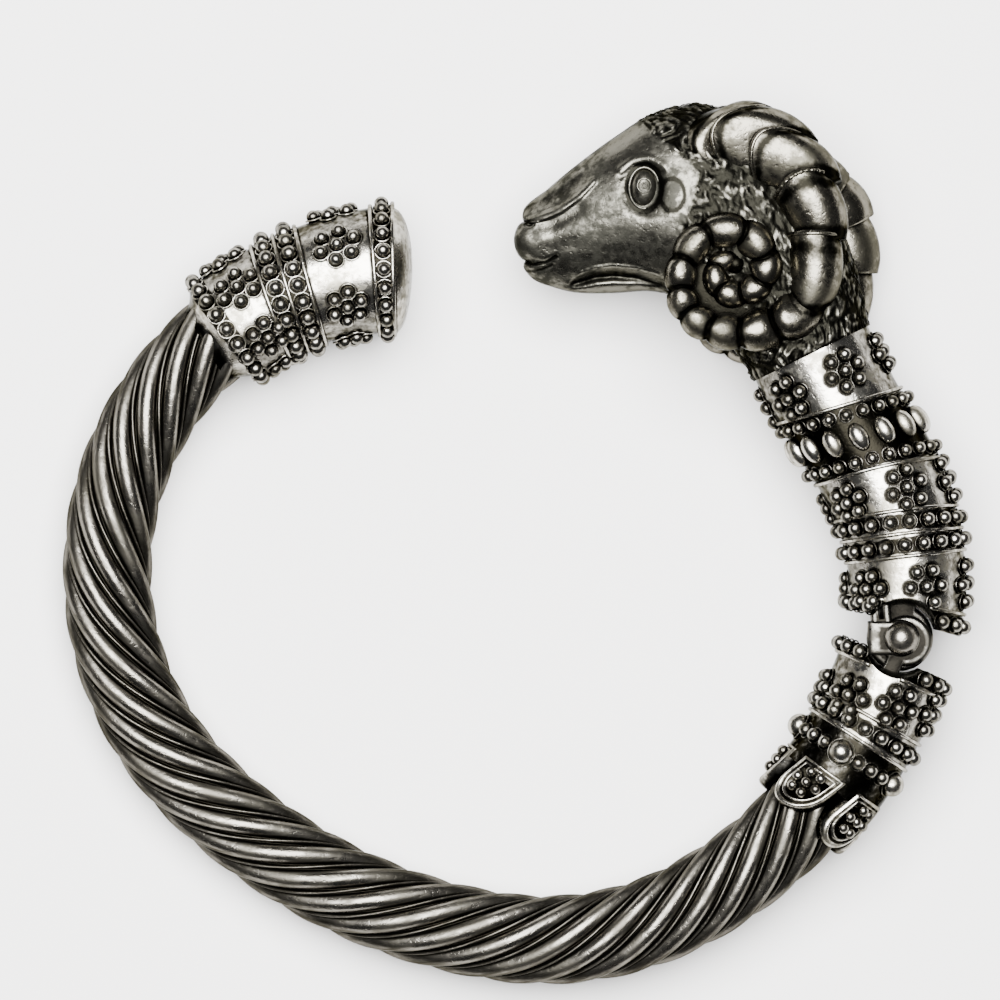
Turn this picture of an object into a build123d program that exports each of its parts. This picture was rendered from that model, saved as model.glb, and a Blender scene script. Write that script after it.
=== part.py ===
from build123d import *
import os
from collections import namedtuple
from math import asin, ceil, cos, pi, radians, sin, tan

# A hinged bangle: a twisted cable hoop with a granulated cap at its free end and a granulated collar at
# its hinge, and an arm with a granulated sleeve that ends in a ram's head.
# It is built flat in the XY plane and seen from +Z, then laid down as it rests on a table.
# Places along it are distances along its curved centre line, from the face of the cap to the head.
# An angle around the centre line is 0 towards +Z and 90 on the outer side of the ring.

# Driving dimensions in millimetres and degrees

# Centre line
cap_length = 16.1
cable_length = 105.7
collar_length = 12.4
collar_to_pin = 1.8
pin_to_sleeve = 1.45
sleeve_length = 24.9
start_heading = 182.9

# Twisted cable
strand_count = 8
strand_pitch = 34.4
cable_radius = 3.85
strand_groove_depth = 0.5
sections_per_strand = 3
socket_depth = 3.0
fit_gap = 0.04

# End cap
cap_face_radius = 5.55
cap_base_radius = 4.85
cap_dome = 1.55

# Hinge collar
collar_radius = 4.8
collar_mouth_mitre = 4.5
flap_count = 5
flap_length = 3.3
flap_width = 4.4
flap_thickness = 0.75
flap_rim_width = 0.45
flap_rim_height = 0.3
flap_start_angle = -17.0

# Head sleeve
sleeve_hinge_radius = 4.95
sleeve_head_radius = 5.35
sleeve_mouth_mitre = 4.8

# Granules
granule_radius = 0.64
small_granule_radius = 0.56
flap_granule_radius = 0.44
big_granule_radius = 1.05
rosette_granule_radius = 0.6
rosette_spacing = 1.38
oval_length = 2.6
oval_width = 1.5
granule_rise = 0.28

# Hinge
pin_radius = 0.85
pin_head_radius = 1.45
knuckle_radius = 1.85
tongue_thickness = 2.3
fork_thickness = 2.3
knuckle_gap = 0.15
running_clearance = 0.05
knuckle_room_radius = 3.4
tongue_root = 5.5
fork_root = 4.5

# Ram's head
head_length = 25.8
head_height = 22.0
head_width = 12.4
head_bend = 64.0
eye_radius = 1.45
mouth_depth = 1.3
mouth_opening = 0.7

# Horns
horn_root_radius = 3.5
horn_tip_radius = 1.2
horn_coil_outer = 10.5
horn_coil_inner = 2.6
horn_sweep = 528.0
horn_start_angle = 80.0
horn_half_span = 6.35
horn_root_span = 3.5
horn_segment_share = 1.38
far_horn_setback = 1.6
horn_coil_power = 2.1
horn_taper_power = 3.2
horn_rise_start = 0.62
horn_rise_power = 1.2

# Places in the head, as shares of its length, height and width
coil_forward_share = 0.279
coil_up_share = 0.345
eye_forward_share = 0.578
eye_up_share = 0.664
eye_side_share = 0.375
lips_up_share = 0.395

# Fullness of the head's sections over an ellipse, and the share of the cable's length where it rests
section_fullness = 0.05
cable_rest_share = 0.68

# Tables, with lengths as shares of the sizes that they follow

Bend = namedtuple("Bend", "share turn")
BENDS = [
    Bend(0.368, 132.2),
    Bend(0.184, 37.1),
    Bend(0.110, 38.6),
    Bend(0.166, 41.3),
    Bend(0.110, 50.6),
    Bend(0.062, -6.7),
]

# A band is a ring of granules: its place is a share of its ferrule, from the end nearer the cap,
# and its lean in degrees draws its outer side towards the cap
Band = namedtuple("Band", "place lean count radius")
CAP_BANDS = [
    Band(0.055, 2, 21, granule_radius),
    Band(0.520, 5, 22, granule_radius),
    Band(0.637, 7, 22, granule_radius),
    Band(0.960, 1, 20, granule_radius),
]
COLLAR_BANDS = [Band(0.475, 3, 19, granule_radius)]
COLLAR_MOUTH_BAND = Band(0.950, 0, 19, granule_radius)
SLEEVE_MOUTH_BAND = Band(0.028, 0, 19, granule_radius)
SLEEVE_BANDS = [
    Band(0.262, 2, 20, granule_radius),
    Band(0.345, 8, 20, granule_radius),
    Band(0.584, 16, 22, small_granule_radius),
    Band(0.757, 14, 23, small_granule_radius),
]
OVAL_BAND = Band(0.670, 16, 15, oval_width / 2)

# The band of big granules has one over each flap, and three small ones in each space
BIG_BAND_PLACE = 0.258
SMALL_BETWEEN_BIG = [0.29, 0.50, 0.71]

# A field is a ring of rosettes, and its start is the angle of one of them
Field = namedtuple("Field", "place lean count start")
CAP_FIELDS = [Field(0.280, 3, 6, 30), Field(0.795, 0, 6, 30)]
COLLAR_FIELDS = [Field(0.715, 0, 5, 16)]
SLEEVE_FIELDS = [Field(0.145, 0, 5, -38), Field(0.462, 14, 5, -30), Field(0.890, 8, 5, -42)]

# Granules of a flap: shares of the flap's length from its root, and of its width
FlapGranule = namedtuple("FlapGranule", "along across")
FLAP_GRANULES = [
    FlapGranule(0.12, -0.17),
    FlapGranule(0.12, 0.17),
    FlapGranule(0.42, -0.27),
    FlapGranule(0.42, 0.00),
    FlapGranule(0.42, 0.27),
    FlapGranule(0.72, -0.14),
    FlapGranule(0.72, 0.14),
]

# Sections of the head from the sleeve to the muzzle: shares of its length, height, bend and width
HeadSection = namedtuple("HeadSection", "forward up lean height width")
NECK_SECTIONS = [
    HeadSection(0.000, 0.000, 1.00, 0.250, 0.445),
    HeadSection(0.073, 0.230, 0.66, 0.310, 0.475),
    HeadSection(0.222, 0.463, 0.31, 0.420, 0.500),
    HeadSection(0.379, 0.580, 0.05, 0.390, 0.485),
]
FACE_SECTIONS = [
    NECK_SECTIONS[-1],
    HeadSection(0.518, 0.584, 0.05, 0.346, 0.435),
    HeadSection(0.648, 0.537, 0.00, 0.303, 0.380),
    HeadSection(0.787, 0.479, 0.00, 0.243, 0.322),
    HeadSection(0.890, 0.460, 0.00, 0.173, 0.274),
    HeadSection(0.960, 0.456, 0.00, 0.106, 0.200),
    HeadSection(1.000, 0.460, 0.00, 0.050, 0.100),
]

# Places along the centre line
collar_start = cap_length + cable_length
collar_end = collar_start + collar_length
pin_place = collar_end + collar_to_pin
sleeve_start = pin_place + pin_to_sleeve
sleeve_end = sleeve_start + sleeve_length


def plane_at(place, mitre=0.0):
    """Plane across the centre line: x points out of the ring, y down and z along the line."""
    heading = radians(start_heading)
    x = y = 0.0
    left = place
    for bend in BENDS:
        length = bend.share * sleeve_end
        radius = length / radians(bend.turn)
        step = left if bend is BENDS[-1] or left < length else length
        turned = heading + step / radius
        x += radius * (sin(turned) - sin(heading))
        y -= radius * (cos(turned) - cos(heading))
        heading = turned
        left -= step
        if left <= 0:
            break
    facing = heading - radians(mitre)
    return Plane(
        origin=(x, y, 0),
        x_dir=(sin(facing), -cos(facing), 0),
        z_dir=(cos(facing), sin(facing), 0),
    )


def around(plane, radius, angle):
    """Point at a radius and an angle around the centre line, in a plane across it."""
    turn = radians(angle)
    return plane.from_local_coords(Vector(radius * sin(turn), -radius * cos(turn), 0))


def surface_plane(plane, radius, angle):
    """Plane on a ferrule's wall, with x along the centre line and z pointing away from it."""
    point = around(plane, radius, angle)
    return Plane(origin=point, x_dir=plane.z_dir, z_dir=(point - plane.origin).normalized())


def tube(start, end, start_radius, end_radius, steps=4):
    """Smooth round body that follows the centre line, with a radius that changes evenly."""
    sections = []
    for k in range(steps + 1):
        share = k / steps
        circle = Circle(start_radius + (end_radius - start_radius) * share)
        sections.append(plane_at(start + (end - start) * share) * circle)
    return loft(sections)


def ring_of(plane, body_radius, row):
    """Ring of granules that stand half out of a ferrule, without those that the hinge would cut."""
    reach = body_radius + granule_rise
    pin = plane_at(pin_place).origin
    granules = []
    for k in range(row.count):
        spot = surface_plane(plane, reach, 360 / row.count * k)
        level = Vector(spot.origin.X, spot.origin.Y, 0)
        if (level - pin).length > knuckle_room_radius + row.radius / 2:
            granules.append(spot * Sphere(row.radius))
    return granules


def rosette(middle, lean, body_radius, angle):
    """Seven granules, one in the middle and six around it, in a field that leans."""
    reach = body_radius + granule_rise
    place = middle - reach * sin(radians(angle)) * tan(radians(lean))
    degrees_per_mm = 360 / (2 * pi * reach)
    spots = [(0.0, 0.0)]
    for k in range(6):
        turn = radians(60 * k)
        spots.append((rosette_spacing * cos(turn), rosette_spacing * sin(turn)))
    granules = []
    for along, across in spots:
        plane = surface_plane(plane_at(place + along), reach, angle + across * degrees_per_mm)
        granules.append(plane * Sphere(rosette_granule_radius))
    return granules


class Ferrule:
    """Round body on the centre line that carries bands and fields of granules."""

    def __init__(self, start, length, start_radius, end_radius):
        self.start = start
        self.length = length
        self.start_radius = start_radius
        self.end_radius = end_radius
        self.relief = []

    def radius(self, share):
        return self.start_radius + (self.end_radius - self.start_radius) * share

    def place(self, share):
        return self.start + share * self.length

    def body(self, steps):
        return tube(self.start, self.place(1), self.start_radius, self.end_radius, steps)

    def add_bands(self, rows):
        for row in rows:
            plane = plane_at(self.place(row.place), row.lean)
            self.relief += ring_of(plane, self.radius(row.place), row)

    def add_fields(self, rows):
        for row in rows:
            for k in range(row.count):
                angle = row.start + 360 / row.count * k
                radius = self.radius(row.place)
                self.relief += rosette(self.place(row.place), row.lean, radius, angle)


def make_cable():
    """Twisted bar of wide rounded strands."""
    start = cap_length - socket_depth + fit_gap
    end = collar_start + socket_depth - fit_gap
    strand = 360 / strand_count
    groove = cable_radius - strand_groove_depth

    def section(place):
        plane = plane_at(place)
        twist = -360 * (place - start) / strand_pitch
        edges = []
        for k in range(strand_count):
            middle = strand * k + twist
            left = around(plane, groove, middle - strand / 2)
            right = around(plane, groove, middle + strand / 2)
            edges.append(ThreePointArc(left, around(plane, cable_radius, middle), right))
        return Face(Wire(edges))

    count = ceil((end - start) / strand_pitch * strand_count * sections_per_strand)
    return loft([section(start + (end - start) * k / count) for k in range(count + 1)])


def socket(start, end):
    """Round room for an end of the cable inside a ferrule."""
    return tube(start, end, cable_radius + fit_gap, cable_radius + fit_gap, 2)


def cap_dome_solid():
    """Shallow dome on the cap's face."""
    ball = (cap_face_radius**2 + cap_dome**2) / (2 * cap_dome)
    middle = asin(cap_face_radius / ball) / 2
    shoulder = (ball * sin(middle), ball * cos(middle) - ball + cap_dome)
    arc = ThreePointArc((cap_face_radius, 0), shoulder, (0, cap_dome))
    outline = Wire([arc, Line((0, cap_dome), (0, 0)), Line((0, 0), (cap_face_radius, 0))])
    face = plane_at(0)
    upright = Plane(origin=face.origin, x_dir=face.x_dir, z_dir=face.y_dir)
    return upright * revolve(Face(outline), Axis.Y)


def make_end_cap():
    """Tapered ferrule with a domed face, two fields of rosettes, a double band and a beaded base."""
    cap = Ferrule(0, cap_length, cap_face_radius, cap_base_radius)
    cap.add_bands(CAP_BANDS)
    cap.add_fields(CAP_FIELDS)
    body = cap.body(5).fuse(cap_dome_solid(), *cap.relief)
    return body.cut(socket(cap_length - socket_depth, cap_length + 1))


def pin_cylinder(radius):
    return Pos(plane_at(pin_place).origin) * Cylinder(radius, 4 * collar_radius)


def knuckle(low, high, ferrule_place, root):
    """Round lug around the pin, between two heights, with a stem that runs into a ferrule."""
    pin = plane_at(pin_place).origin
    towards = (plane_at(ferrule_place).origin - pin).normalized()
    middle = Vector(0, 0, (low + high) / 2)
    disc = Pos(pin + middle) * Cylinder(knuckle_radius, high - low)
    stem = Plane(origin=pin + middle + towards * (root / 2), x_dir=towards, z_dir=(0, 0, 1))
    return disc.fuse(stem * Box(root, 2 * knuckle_radius, high - low))


def shield(angle, margin):
    """Block with a rounded outline that stands on the centre line under a flap."""
    tip = collar_start - flap_length
    middle = (tip + collar_start + 1) / 2
    half = collar_start + 1 - middle
    width = flap_width / 2 - margin
    low = margin - half
    arc = ThreePointArc((low + width, width), (low, 0), (low + width, -width))
    lines = [
        Line((low + width, -width), (half, -width)),
        Line((half, -width), (half, width)),
        Line((half, width), (low + width, width)),
    ]
    foot = surface_plane(plane_at(middle), cable_radius / 2, angle)
    return foot * extrude(Face(Wire([arc] + lines)), 2 * cable_radius)


def make_flaps():
    """Rounded shields that lap over the cable, each with a raised rim around a sunk field of granules."""
    inner = cable_radius + 2 * fit_gap
    outer = inner + flap_thickness
    floor = outer - flap_rim_height
    angles = [flap_start_angle + 360 / flap_count * k for k in range(flap_count)]
    reach = (collar_start - 2 * flap_length, collar_start + 2)
    hollow = tube(*reach, inner, inner, 2)
    sunk = tube(*reach, floor, floor, 2)
    whole = tube(*reach, outer, outer, 2)
    flaps = []
    for angle in angles:
        plate = (shield(angle, 0) & whole) - hollow
        flaps.append(plate - (shield(angle, flap_rim_width) - sunk))
        for spot in FLAP_GRANULES:
            turn = angle + spot.across * flap_width * 360 / (2 * pi * floor)
            plane = surface_plane(plane_at(collar_start - spot.along * flap_length), floor + 0.1, turn)
            flaps.append(plane * Sphere(flap_granule_radius))
    return flaps


def big_band(collar):
    """Ring of big granules, one over each flap, with small ones between them."""
    plane = plane_at(collar.place(BIG_BAND_PLACE))
    reach = collar.radius(BIG_BAND_PLACE) + granule_rise
    pitch = 360 / flap_count
    granules = []
    for k in range(flap_count):
        angle = flap_start_angle + pitch * k
        granules.append(surface_plane(plane, reach, angle) * Sphere(big_granule_radius))
        for share in SMALL_BETWEEN_BIG:
            spot = surface_plane(plane, reach, angle + share * pitch)
            granules.append(spot * Sphere(small_granule_radius))
    return granules


def make_hinge_collar():
    """Ferrule at the hinge end of the cable, with shield flaps, granules and the hinge's tongue."""
    collar = Ferrule(collar_start, collar_length, collar_radius, collar_radius)
    mouth = plane_at(collar_end, collar_mouth_mitre)
    sections = [plane_at(collar.place(share)) * Circle(collar_radius) for share in (0, 0.25, 0.5, 0.75)]
    body = loft(sections + [mouth * Circle(collar_radius)])
    collar.add_bands(COLLAR_BANDS)
    collar.add_fields(COLLAR_FIELDS)
    collar.relief += big_band(collar)
    rim = mouth.offset(-(1 - COLLAR_MOUTH_BAND.place) * collar_length)
    collar.relief += ring_of(rim, collar_radius, COLLAR_MOUTH_BAND)
    collar.relief += make_flaps()
    body = body.fuse(*collar.relief).cut(
        pin_cylinder(knuckle_room_radius),
        socket(collar_start - 1, collar_start + socket_depth),
    )
    half = tongue_thickness / 2
    body = body.fuse(knuckle(-half, half, collar_end - 2, tongue_root))
    return body.cut(pin_cylinder(pin_radius + fit_gap))


def make_head_sleeve():
    """Ferrule that carries the head, with bands, ovals and rosettes, and the hinge's fork."""
    sleeve = Ferrule(sleeve_start, sleeve_length, sleeve_hinge_radius, sleeve_head_radius)
    mouth = plane_at(sleeve_start, sleeve_mouth_mitre)
    sections = [mouth * Circle(sleeve.radius(0))]
    for k in range(1, 8):
        sections.append(plane_at(sleeve.place(k / 7)) * Circle(sleeve.radius(k / 7)))
    body = loft(sections)
    sleeve.add_bands(SLEEVE_BANDS)
    sleeve.add_fields(SLEEVE_FIELDS)
    rim = mouth.offset(SLEEVE_MOUTH_BAND.place * sleeve_length)
    sleeve.relief += ring_of(rim, sleeve_hinge_radius, SLEEVE_MOUTH_BAND)
    plane = plane_at(sleeve.place(OVAL_BAND.place), OVAL_BAND.lean)
    for k in range(OVAL_BAND.count):
        reach = sleeve.radius(OVAL_BAND.place) + granule_rise / 2
        point = around(plane, reach, 360 / OVAL_BAND.count * k)
        sleeve.relief.append(ellipsoid(point, plane.z_dir, oval_length / 2, OVAL_BAND.radius))
    body = body.fuse(*sleeve.relief).cut(pin_cylinder(knuckle_room_radius))
    low = tongue_thickness / 2 + knuckle_gap
    high = low + fork_thickness
    for bottom, top in ((low, high), (-high, -low)):
        body = body.fuse(knuckle(bottom, top, sleeve_start + 2, fork_root))
    return body.cut(pin_cylinder(pin_radius + running_clearance))


def make_hinge_pin():
    """Pin with a ball head at each end."""
    origin = plane_at(pin_place).origin
    stack = tongue_thickness / 2 + knuckle_gap + fork_thickness + knuckle_gap
    seat = stack + (pin_head_radius**2 - pin_radius**2) ** 0.5
    shaft = Pos(origin) * Cylinder(pin_radius, 2 * seat)
    heads = [Pos(origin.X, origin.Y, side * seat) * Sphere(pin_head_radius) for side in (-1, 1)]
    return shaft.fuse(*heads)


def ellipsoid(point, direction, half_length, half_width):
    """Ellipsoid of revolution, longer or shorter along the given direction."""
    half = Rectangle(2 * half_width, 3 * half_length, align=(Align.MIN, Align.CENTER))
    body = revolve(Ellipse(half_width, half_length) & half, Axis.Y)
    across = direction.cross(Vector(0, 0, 1)).normalized()
    return Plane(origin=point, x_dir=across, z_dir=across.cross(direction)) * body


HEAD_PLANE = plane_at(sleeve_end)
HEAD_FORWARD = Vector(HEAD_PLANE.z_dir).rotate(Axis.Z, head_bend)
HEAD_UP = Vector(HEAD_FORWARD).rotate(Axis.Z, -90)


def in_head(forward, up, side):
    """Point in the head's own frame: forward to the muzzle, up to the crown, side along +Z."""
    return HEAD_PLANE.origin + HEAD_FORWARD * forward + HEAD_UP * up + Vector(0, 0, side)


def head_section(row):
    """Oval of eight arcs across the head, a little fuller than an ellipse."""
    lean = head_bend * row.lean
    forward = Vector(HEAD_FORWARD).rotate(Axis.Z, -lean)
    up = Vector(HEAD_UP).rotate(Axis.Z, -lean)
    centre = in_head(row.forward * head_length, row.up * head_height, 0)
    points = []
    for k in range(17):
        turn = radians(22.5 * k)
        fullness = 1 + section_fullness * abs(sin(2 * turn))
        height = row.height * head_height * cos(turn) * fullness
        width = row.width * head_width * sin(turn) * fullness
        points.append((height, width))
    arcs = [ThreePointArc(points[k], points[k + 1], points[k + 2]) for k in range(0, 16, 2)]
    return Plane(origin=centre, x_dir=up, z_dir=forward) * Face(Wire(arcs))


COIL_FORWARD = coil_forward_share * head_length
COIL_UP = coil_up_share * head_height


def horn_spot(left, side):
    """Point on the horn's spiral, with the share of it that is left: 1 at the crown and 0 at the end."""
    reach = horn_coil_inner + (horn_coil_outer - horn_coil_inner) * left**horn_coil_power
    angle = radians(horn_start_angle - horn_sweep * (1 - left))
    rise = max(0.0, (left - horn_rise_start) / (1 - horn_rise_start)) ** horn_rise_power
    span = horn_half_span - (horn_half_span - horn_root_span) * rise
    middle = COIL_FORWARD if side > 0 else COIL_FORWARD - far_horn_setback
    return in_head(middle - reach * cos(angle), COIL_UP + reach * sin(angle), side * span)


def horn_thickness(left):
    """Radius of the horn's segment at that share."""
    return horn_tip_radius + (horn_root_radius - horn_tip_radius) * left**horn_taper_power


def horn(side):
    """Chain of round segments along a spiral that closes in from the crown to the coil's middle."""
    segments = []
    left = 1.0
    while left > 0:
        thickness = horn_thickness(left)
        here = horn_spot(left, side)
        ahead = horn_spot(left - 0.01, side) if left > 0.01 else horn_spot(0, side)
        spacing = horn_segment_share * thickness
        segments.append(Plane(origin=here, z_dir=ahead - here) * Sphere(thickness))
        left -= 0.01 * spacing / (ahead - here).length
    middle = COIL_FORWARD if side > 0 else COIL_FORWARD - far_horn_setback
    return segments + [Pos(in_head(middle, COIL_UP, side * horn_half_span)) * Sphere(horn_tip_radius)]


def make_ram_head():
    """Ram's head with coiled horns, cast in one piece."""
    neck = loft([head_section(row) for row in NECK_SECTIONS])
    face = loft([head_section(row) for row in FACE_SECTIONS])
    features = [face]
    for side in (-1, 1):
        features += horn(side)
        eye_side = side * eye_side_share * head_width
        eye = in_head(eye_forward_share * head_length, eye_up_share * head_height, eye_side)
        features.append(Pos(eye) * Sphere(eye_radius))
    corner = in_head(head_length, lips_up_share * head_height, 0)
    lips = Plane(origin=corner, x_dir=-HEAD_FORWARD, z_dir=(0, 0, 1))
    notch = Polyline((-1, -mouth_opening), (mouth_depth, 0), (-1, mouth_opening), close=True)
    wedge = extrude(lips * Face(Wire(notch.edges())), amount=head_width / 2, both=True)
    return neck.fuse(*features).cut(wedge)


def resting_plane():
    """Plane of the table, through the lowest points of a horn, the cap's rim and the cable."""
    rim_reach = cap_face_radius + granule_rise + granule_radius
    lowest = horn_rise_start
    coil = horn_spot(lowest, -1) - Vector(0, 0, horn_thickness(lowest))
    rim = around(plane_at(CAP_BANDS[0].place * cap_length), rim_reach, 180)
    cable = around(plane_at(cap_length + cable_rest_share * cable_length), cable_radius, 180)
    normal = (rim - coil).cross(cable - coil).normalized()
    if normal.Z < 0:
        normal = -normal
    return Plane(origin=coil, x_dir=Vector(0, 1, 0).cross(normal), z_dir=normal)


def export(shapes):
    """Lays the bangle on the table, with the middle of its footprint at the origin, and writes it."""
    os.makedirs("parts", exist_ok=True)
    down = resting_plane().location.inverse()
    laid = {name: down * shape for name, shape in shapes.items()}
    boxes = [shape.bounding_box() for shape in laid.values()]
    x = (min(box.min.X for box in boxes) + max(box.max.X for box in boxes)) / 2
    y = (min(box.min.Y for box in boxes) + max(box.max.Y for box in boxes)) / 2
    z = min(box.min.Z for box in boxes)
    for name, shape in laid.items():
        placed = Pos(-x, -y, -z) * shape
        placed.label = name
        export_step(placed, f"parts/{name}.step")


export(
    {
        "cable_hoop": make_cable(),
        "end_cap": make_end_cap(),
        "hinge_collar": make_hinge_collar(),
        "hinge_pin": make_hinge_pin(),
        "head_sleeve": make_head_sleeve(),
        "ram_head": make_ram_head(),
    }
)
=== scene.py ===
"""Looks of a hinged bangle with a ram's head, in antique silver.

A twisted bar with a domed cap and a hinge collar is the hoop. A sleeve and a ram's head with two
coiled horns are the arm, which swings on the hinge pin. The bangle is drawn flat, in millimetres,
along a centre line from the cap to the head, and Lie.place moves it into the part's frame.
"""

from __future__ import annotations

import logging
import math
import sys
from dataclasses import dataclass, field, replace
from enum import Enum

import bpy
import numpy as np
from mathutils import Matrix, Vector

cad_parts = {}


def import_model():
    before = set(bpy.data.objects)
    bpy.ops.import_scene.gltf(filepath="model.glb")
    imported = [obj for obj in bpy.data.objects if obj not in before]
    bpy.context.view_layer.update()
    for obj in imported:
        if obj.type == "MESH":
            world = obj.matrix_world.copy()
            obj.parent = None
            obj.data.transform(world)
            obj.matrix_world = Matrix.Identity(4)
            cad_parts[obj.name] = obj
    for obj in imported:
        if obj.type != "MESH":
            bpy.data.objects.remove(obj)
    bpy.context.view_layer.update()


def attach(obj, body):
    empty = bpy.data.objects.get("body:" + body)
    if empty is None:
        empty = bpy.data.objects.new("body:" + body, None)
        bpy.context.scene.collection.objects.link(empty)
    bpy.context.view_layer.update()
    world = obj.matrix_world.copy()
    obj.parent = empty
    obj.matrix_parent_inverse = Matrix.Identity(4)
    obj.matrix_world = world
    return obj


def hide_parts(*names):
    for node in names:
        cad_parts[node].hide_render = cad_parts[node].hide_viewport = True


LOG = logging.getLogger("bangle")
MM = 0.001
UP = np.array([0.0, 0.0, 1.0])

Triple = tuple[float, float, float]
Found = tuple[np.ndarray, np.ndarray]


class Body(Enum):
    """Rigid body of the part that a piece rides on."""

    HOOP = "hoop"
    ARM = "arm"


@dataclass(frozen=True)
class Lie:
    """How the bangle, drawn flat, lies on the table.

    The drawing's axes are turned onto the table's plane and moved to the middle of the footprint.
    """

    origin: Triple = (27.3853, -4.34281, -8.04817)
    normal: Triple = (0.064041, 0.055538, 0.996401)
    shift: Triple = (17.1802, 19.4863, 0.888127)

    def axes(self) -> np.ndarray:
        """Gives the table's axes in the drawing.

        Returns:
            Three rows: the x, y and z axis.
        """
        z = np.array(self.normal) / np.linalg.norm(self.normal)
        x = np.cross((0.0, 1.0, 0.0), z)
        x /= np.linalg.norm(x)
        return np.stack([x, np.cross(z, x), z])

    def place(self, points: np.ndarray) -> np.ndarray:
        """Moves points of the drawing onto the table.

        Args:
            points: Positions in millimetres, one in each row.

        Returns:
            Positions in metres.
        """
        turned = (points - np.array(self.origin)) @ self.axes().T
        return (turned + np.array(self.shift)) * MM


@dataclass(frozen=True)
class Bend:
    """Arc of the centre line, by its share of the whole length and its turn in degrees."""

    share: float
    turn: float


@dataclass(frozen=True)
class CentreLine:
    """Flat chain of arcs from the cap's face to the head."""

    length: float = 162.35
    heading: float = 182.9
    bends: tuple[Bend, ...] = (
        Bend(0.368, 132.2),
        Bend(0.184, 37.1),
        Bend(0.110, 38.6),
        Bend(0.166, 41.3),
        Bend(0.110, 50.6),
        Bend(0.062, -6.7),
    )

    def spots(self, place: np.ndarray) -> tuple[np.ndarray, np.ndarray, np.ndarray]:
        """Walks along the arcs.

        Each arc starts where the last one ended. On it the heading grows evenly with the distance,
        and the position moves by the radius times the change of the heading's sine and cosine.

        Args:
            place: Distances along the line, in an array of any shape.

        Returns:
            Position, outward direction and direction of travel of each.
        """
        starts, headings, radii, corners = [], [], [], []
        s, h, p = 0.0, math.radians(self.heading), np.zeros(2)
        for bend in self.bends:
            length = bend.share * self.length
            radius = length / math.radians(bend.turn)
            starts.append(s)
            headings.append(h)
            radii.append(radius)
            corners.append(p.copy())
            end = h + length / radius
            p = p + radius * np.array([math.sin(end) - math.sin(h), math.cos(h) - math.cos(end)])
            s, h = s + length, end
        place = np.asarray(place, float)
        which = np.clip(np.searchsorted(starts, place, side="right") - 1, 0, len(starts) - 1)
        h0, r0, c0 = np.array(headings)[which], np.array(radii)[which], np.array(corners)[which]
        h1 = h0 + (place - np.array(starts)[which]) / r0
        flat = np.zeros_like(h1)
        x = c0[..., 0] + r0 * (np.sin(h1) - np.sin(h0))
        y = c0[..., 1] + r0 * (np.cos(h0) - np.cos(h1))
        outward = np.stack([np.sin(h1), -np.cos(h1), flat], -1)
        along = np.stack([np.cos(h1), np.sin(h1), flat], -1)
        return np.stack([x, y, flat], -1), outward, along

    def away(self, place: np.ndarray | float, angle: np.ndarray) -> np.ndarray:
        """Gives directions that point away from the line.

        Args:
            place: Distances along the line.
            angle: Angles around it in degrees, 0 at the top and 90 on the outer side.

        Returns:
            Directions, in the arrays' common shape with a last axis of three.
        """
        place, angle = np.broadcast_arrays(np.asarray(place, float), np.asarray(angle, float))
        outward = self.spots(place)[1]
        return outward * sine(angle)[..., None] + UP * cosine(angle)[..., None]

    def points(
        self, place: np.ndarray | float, radius: np.ndarray | float, angle: np.ndarray
    ) -> np.ndarray:
        """Gives points around the line.

        Args:
            place: Distances along the line.
            radius: Distances from it.
            angle: Angles around it in degrees, 0 at the top and 90 on the outer side.

        Returns:
            Positions, in the arrays' common shape with a last axis of three.
        """
        place, radius, angle = np.broadcast_arrays(place, radius, angle)
        return self.spots(place)[0] + radius[..., None] * self.away(place, angle)


def sine(angle: np.ndarray | float) -> np.ndarray:
    """Sine of an angle in degrees."""
    return np.sin(np.radians(angle))


def cosine(angle: np.ndarray | float) -> np.ndarray:
    """Cosine of an angle in degrees."""
    return np.cos(np.radians(angle))


def around(count: int) -> np.ndarray:
    """Gives even angles around a circle, in degrees."""
    return 360 / count * np.arange(count)


def slope(lean: float) -> float:
    """Shift along the line for each millimetre outwards of a ring that leans by so many degrees."""
    return math.tan(math.radians(lean))


def smooth(low: float, high: float, value: np.ndarray) -> np.ndarray:
    """Eases from 0 at low to 1 at high: three times the square less twice the cube."""
    t = np.clip((value - low) / (high - low), 0.0, 1.0)
    return t * t * (3 - 2 * t)


def bell(value: np.ndarray, width: float) -> np.ndarray:
    """Bell curve of height 1: e to the minus of the squared value over the width."""
    return np.exp(-((value / width) ** 2))


def through(table: np.ndarray, where: np.ndarray) -> np.ndarray:
    """Interpolates rows with a Catmull-Rom curve.

    Args:
        table: One row for each whole number.
        where: Row numbers, whole or not.

    Returns:
        The rows in between.
    """
    last = len(table) - 1
    before, after = 2 * table[:1] - table[1:2], 2 * table[-1:] - table[-2:-1]
    table = np.concatenate([before, table, after])
    k = np.clip(np.floor(where).astype(int), 0, last - 1)
    t = (where - k)[:, None]
    a, b, c, d = table[k], table[k + 1], table[k + 2], table[k + 3]
    square, cube = 2 * a - 5 * b + 4 * c - d, 3 * b - a - 3 * c + d
    return 0.5 * (2 * b + (c - a) * t + square * t**2 + cube * t**3)


def quads(index: np.ndarray) -> np.ndarray:
    """Gives the faces between neighbouring rows and columns of a table of point numbers."""
    corners = [index[:-1, :-1], index[:-1, 1:], index[1:, 1:], index[1:, :-1]]
    return np.stack(corners, -1).reshape(-1, 4)


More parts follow.
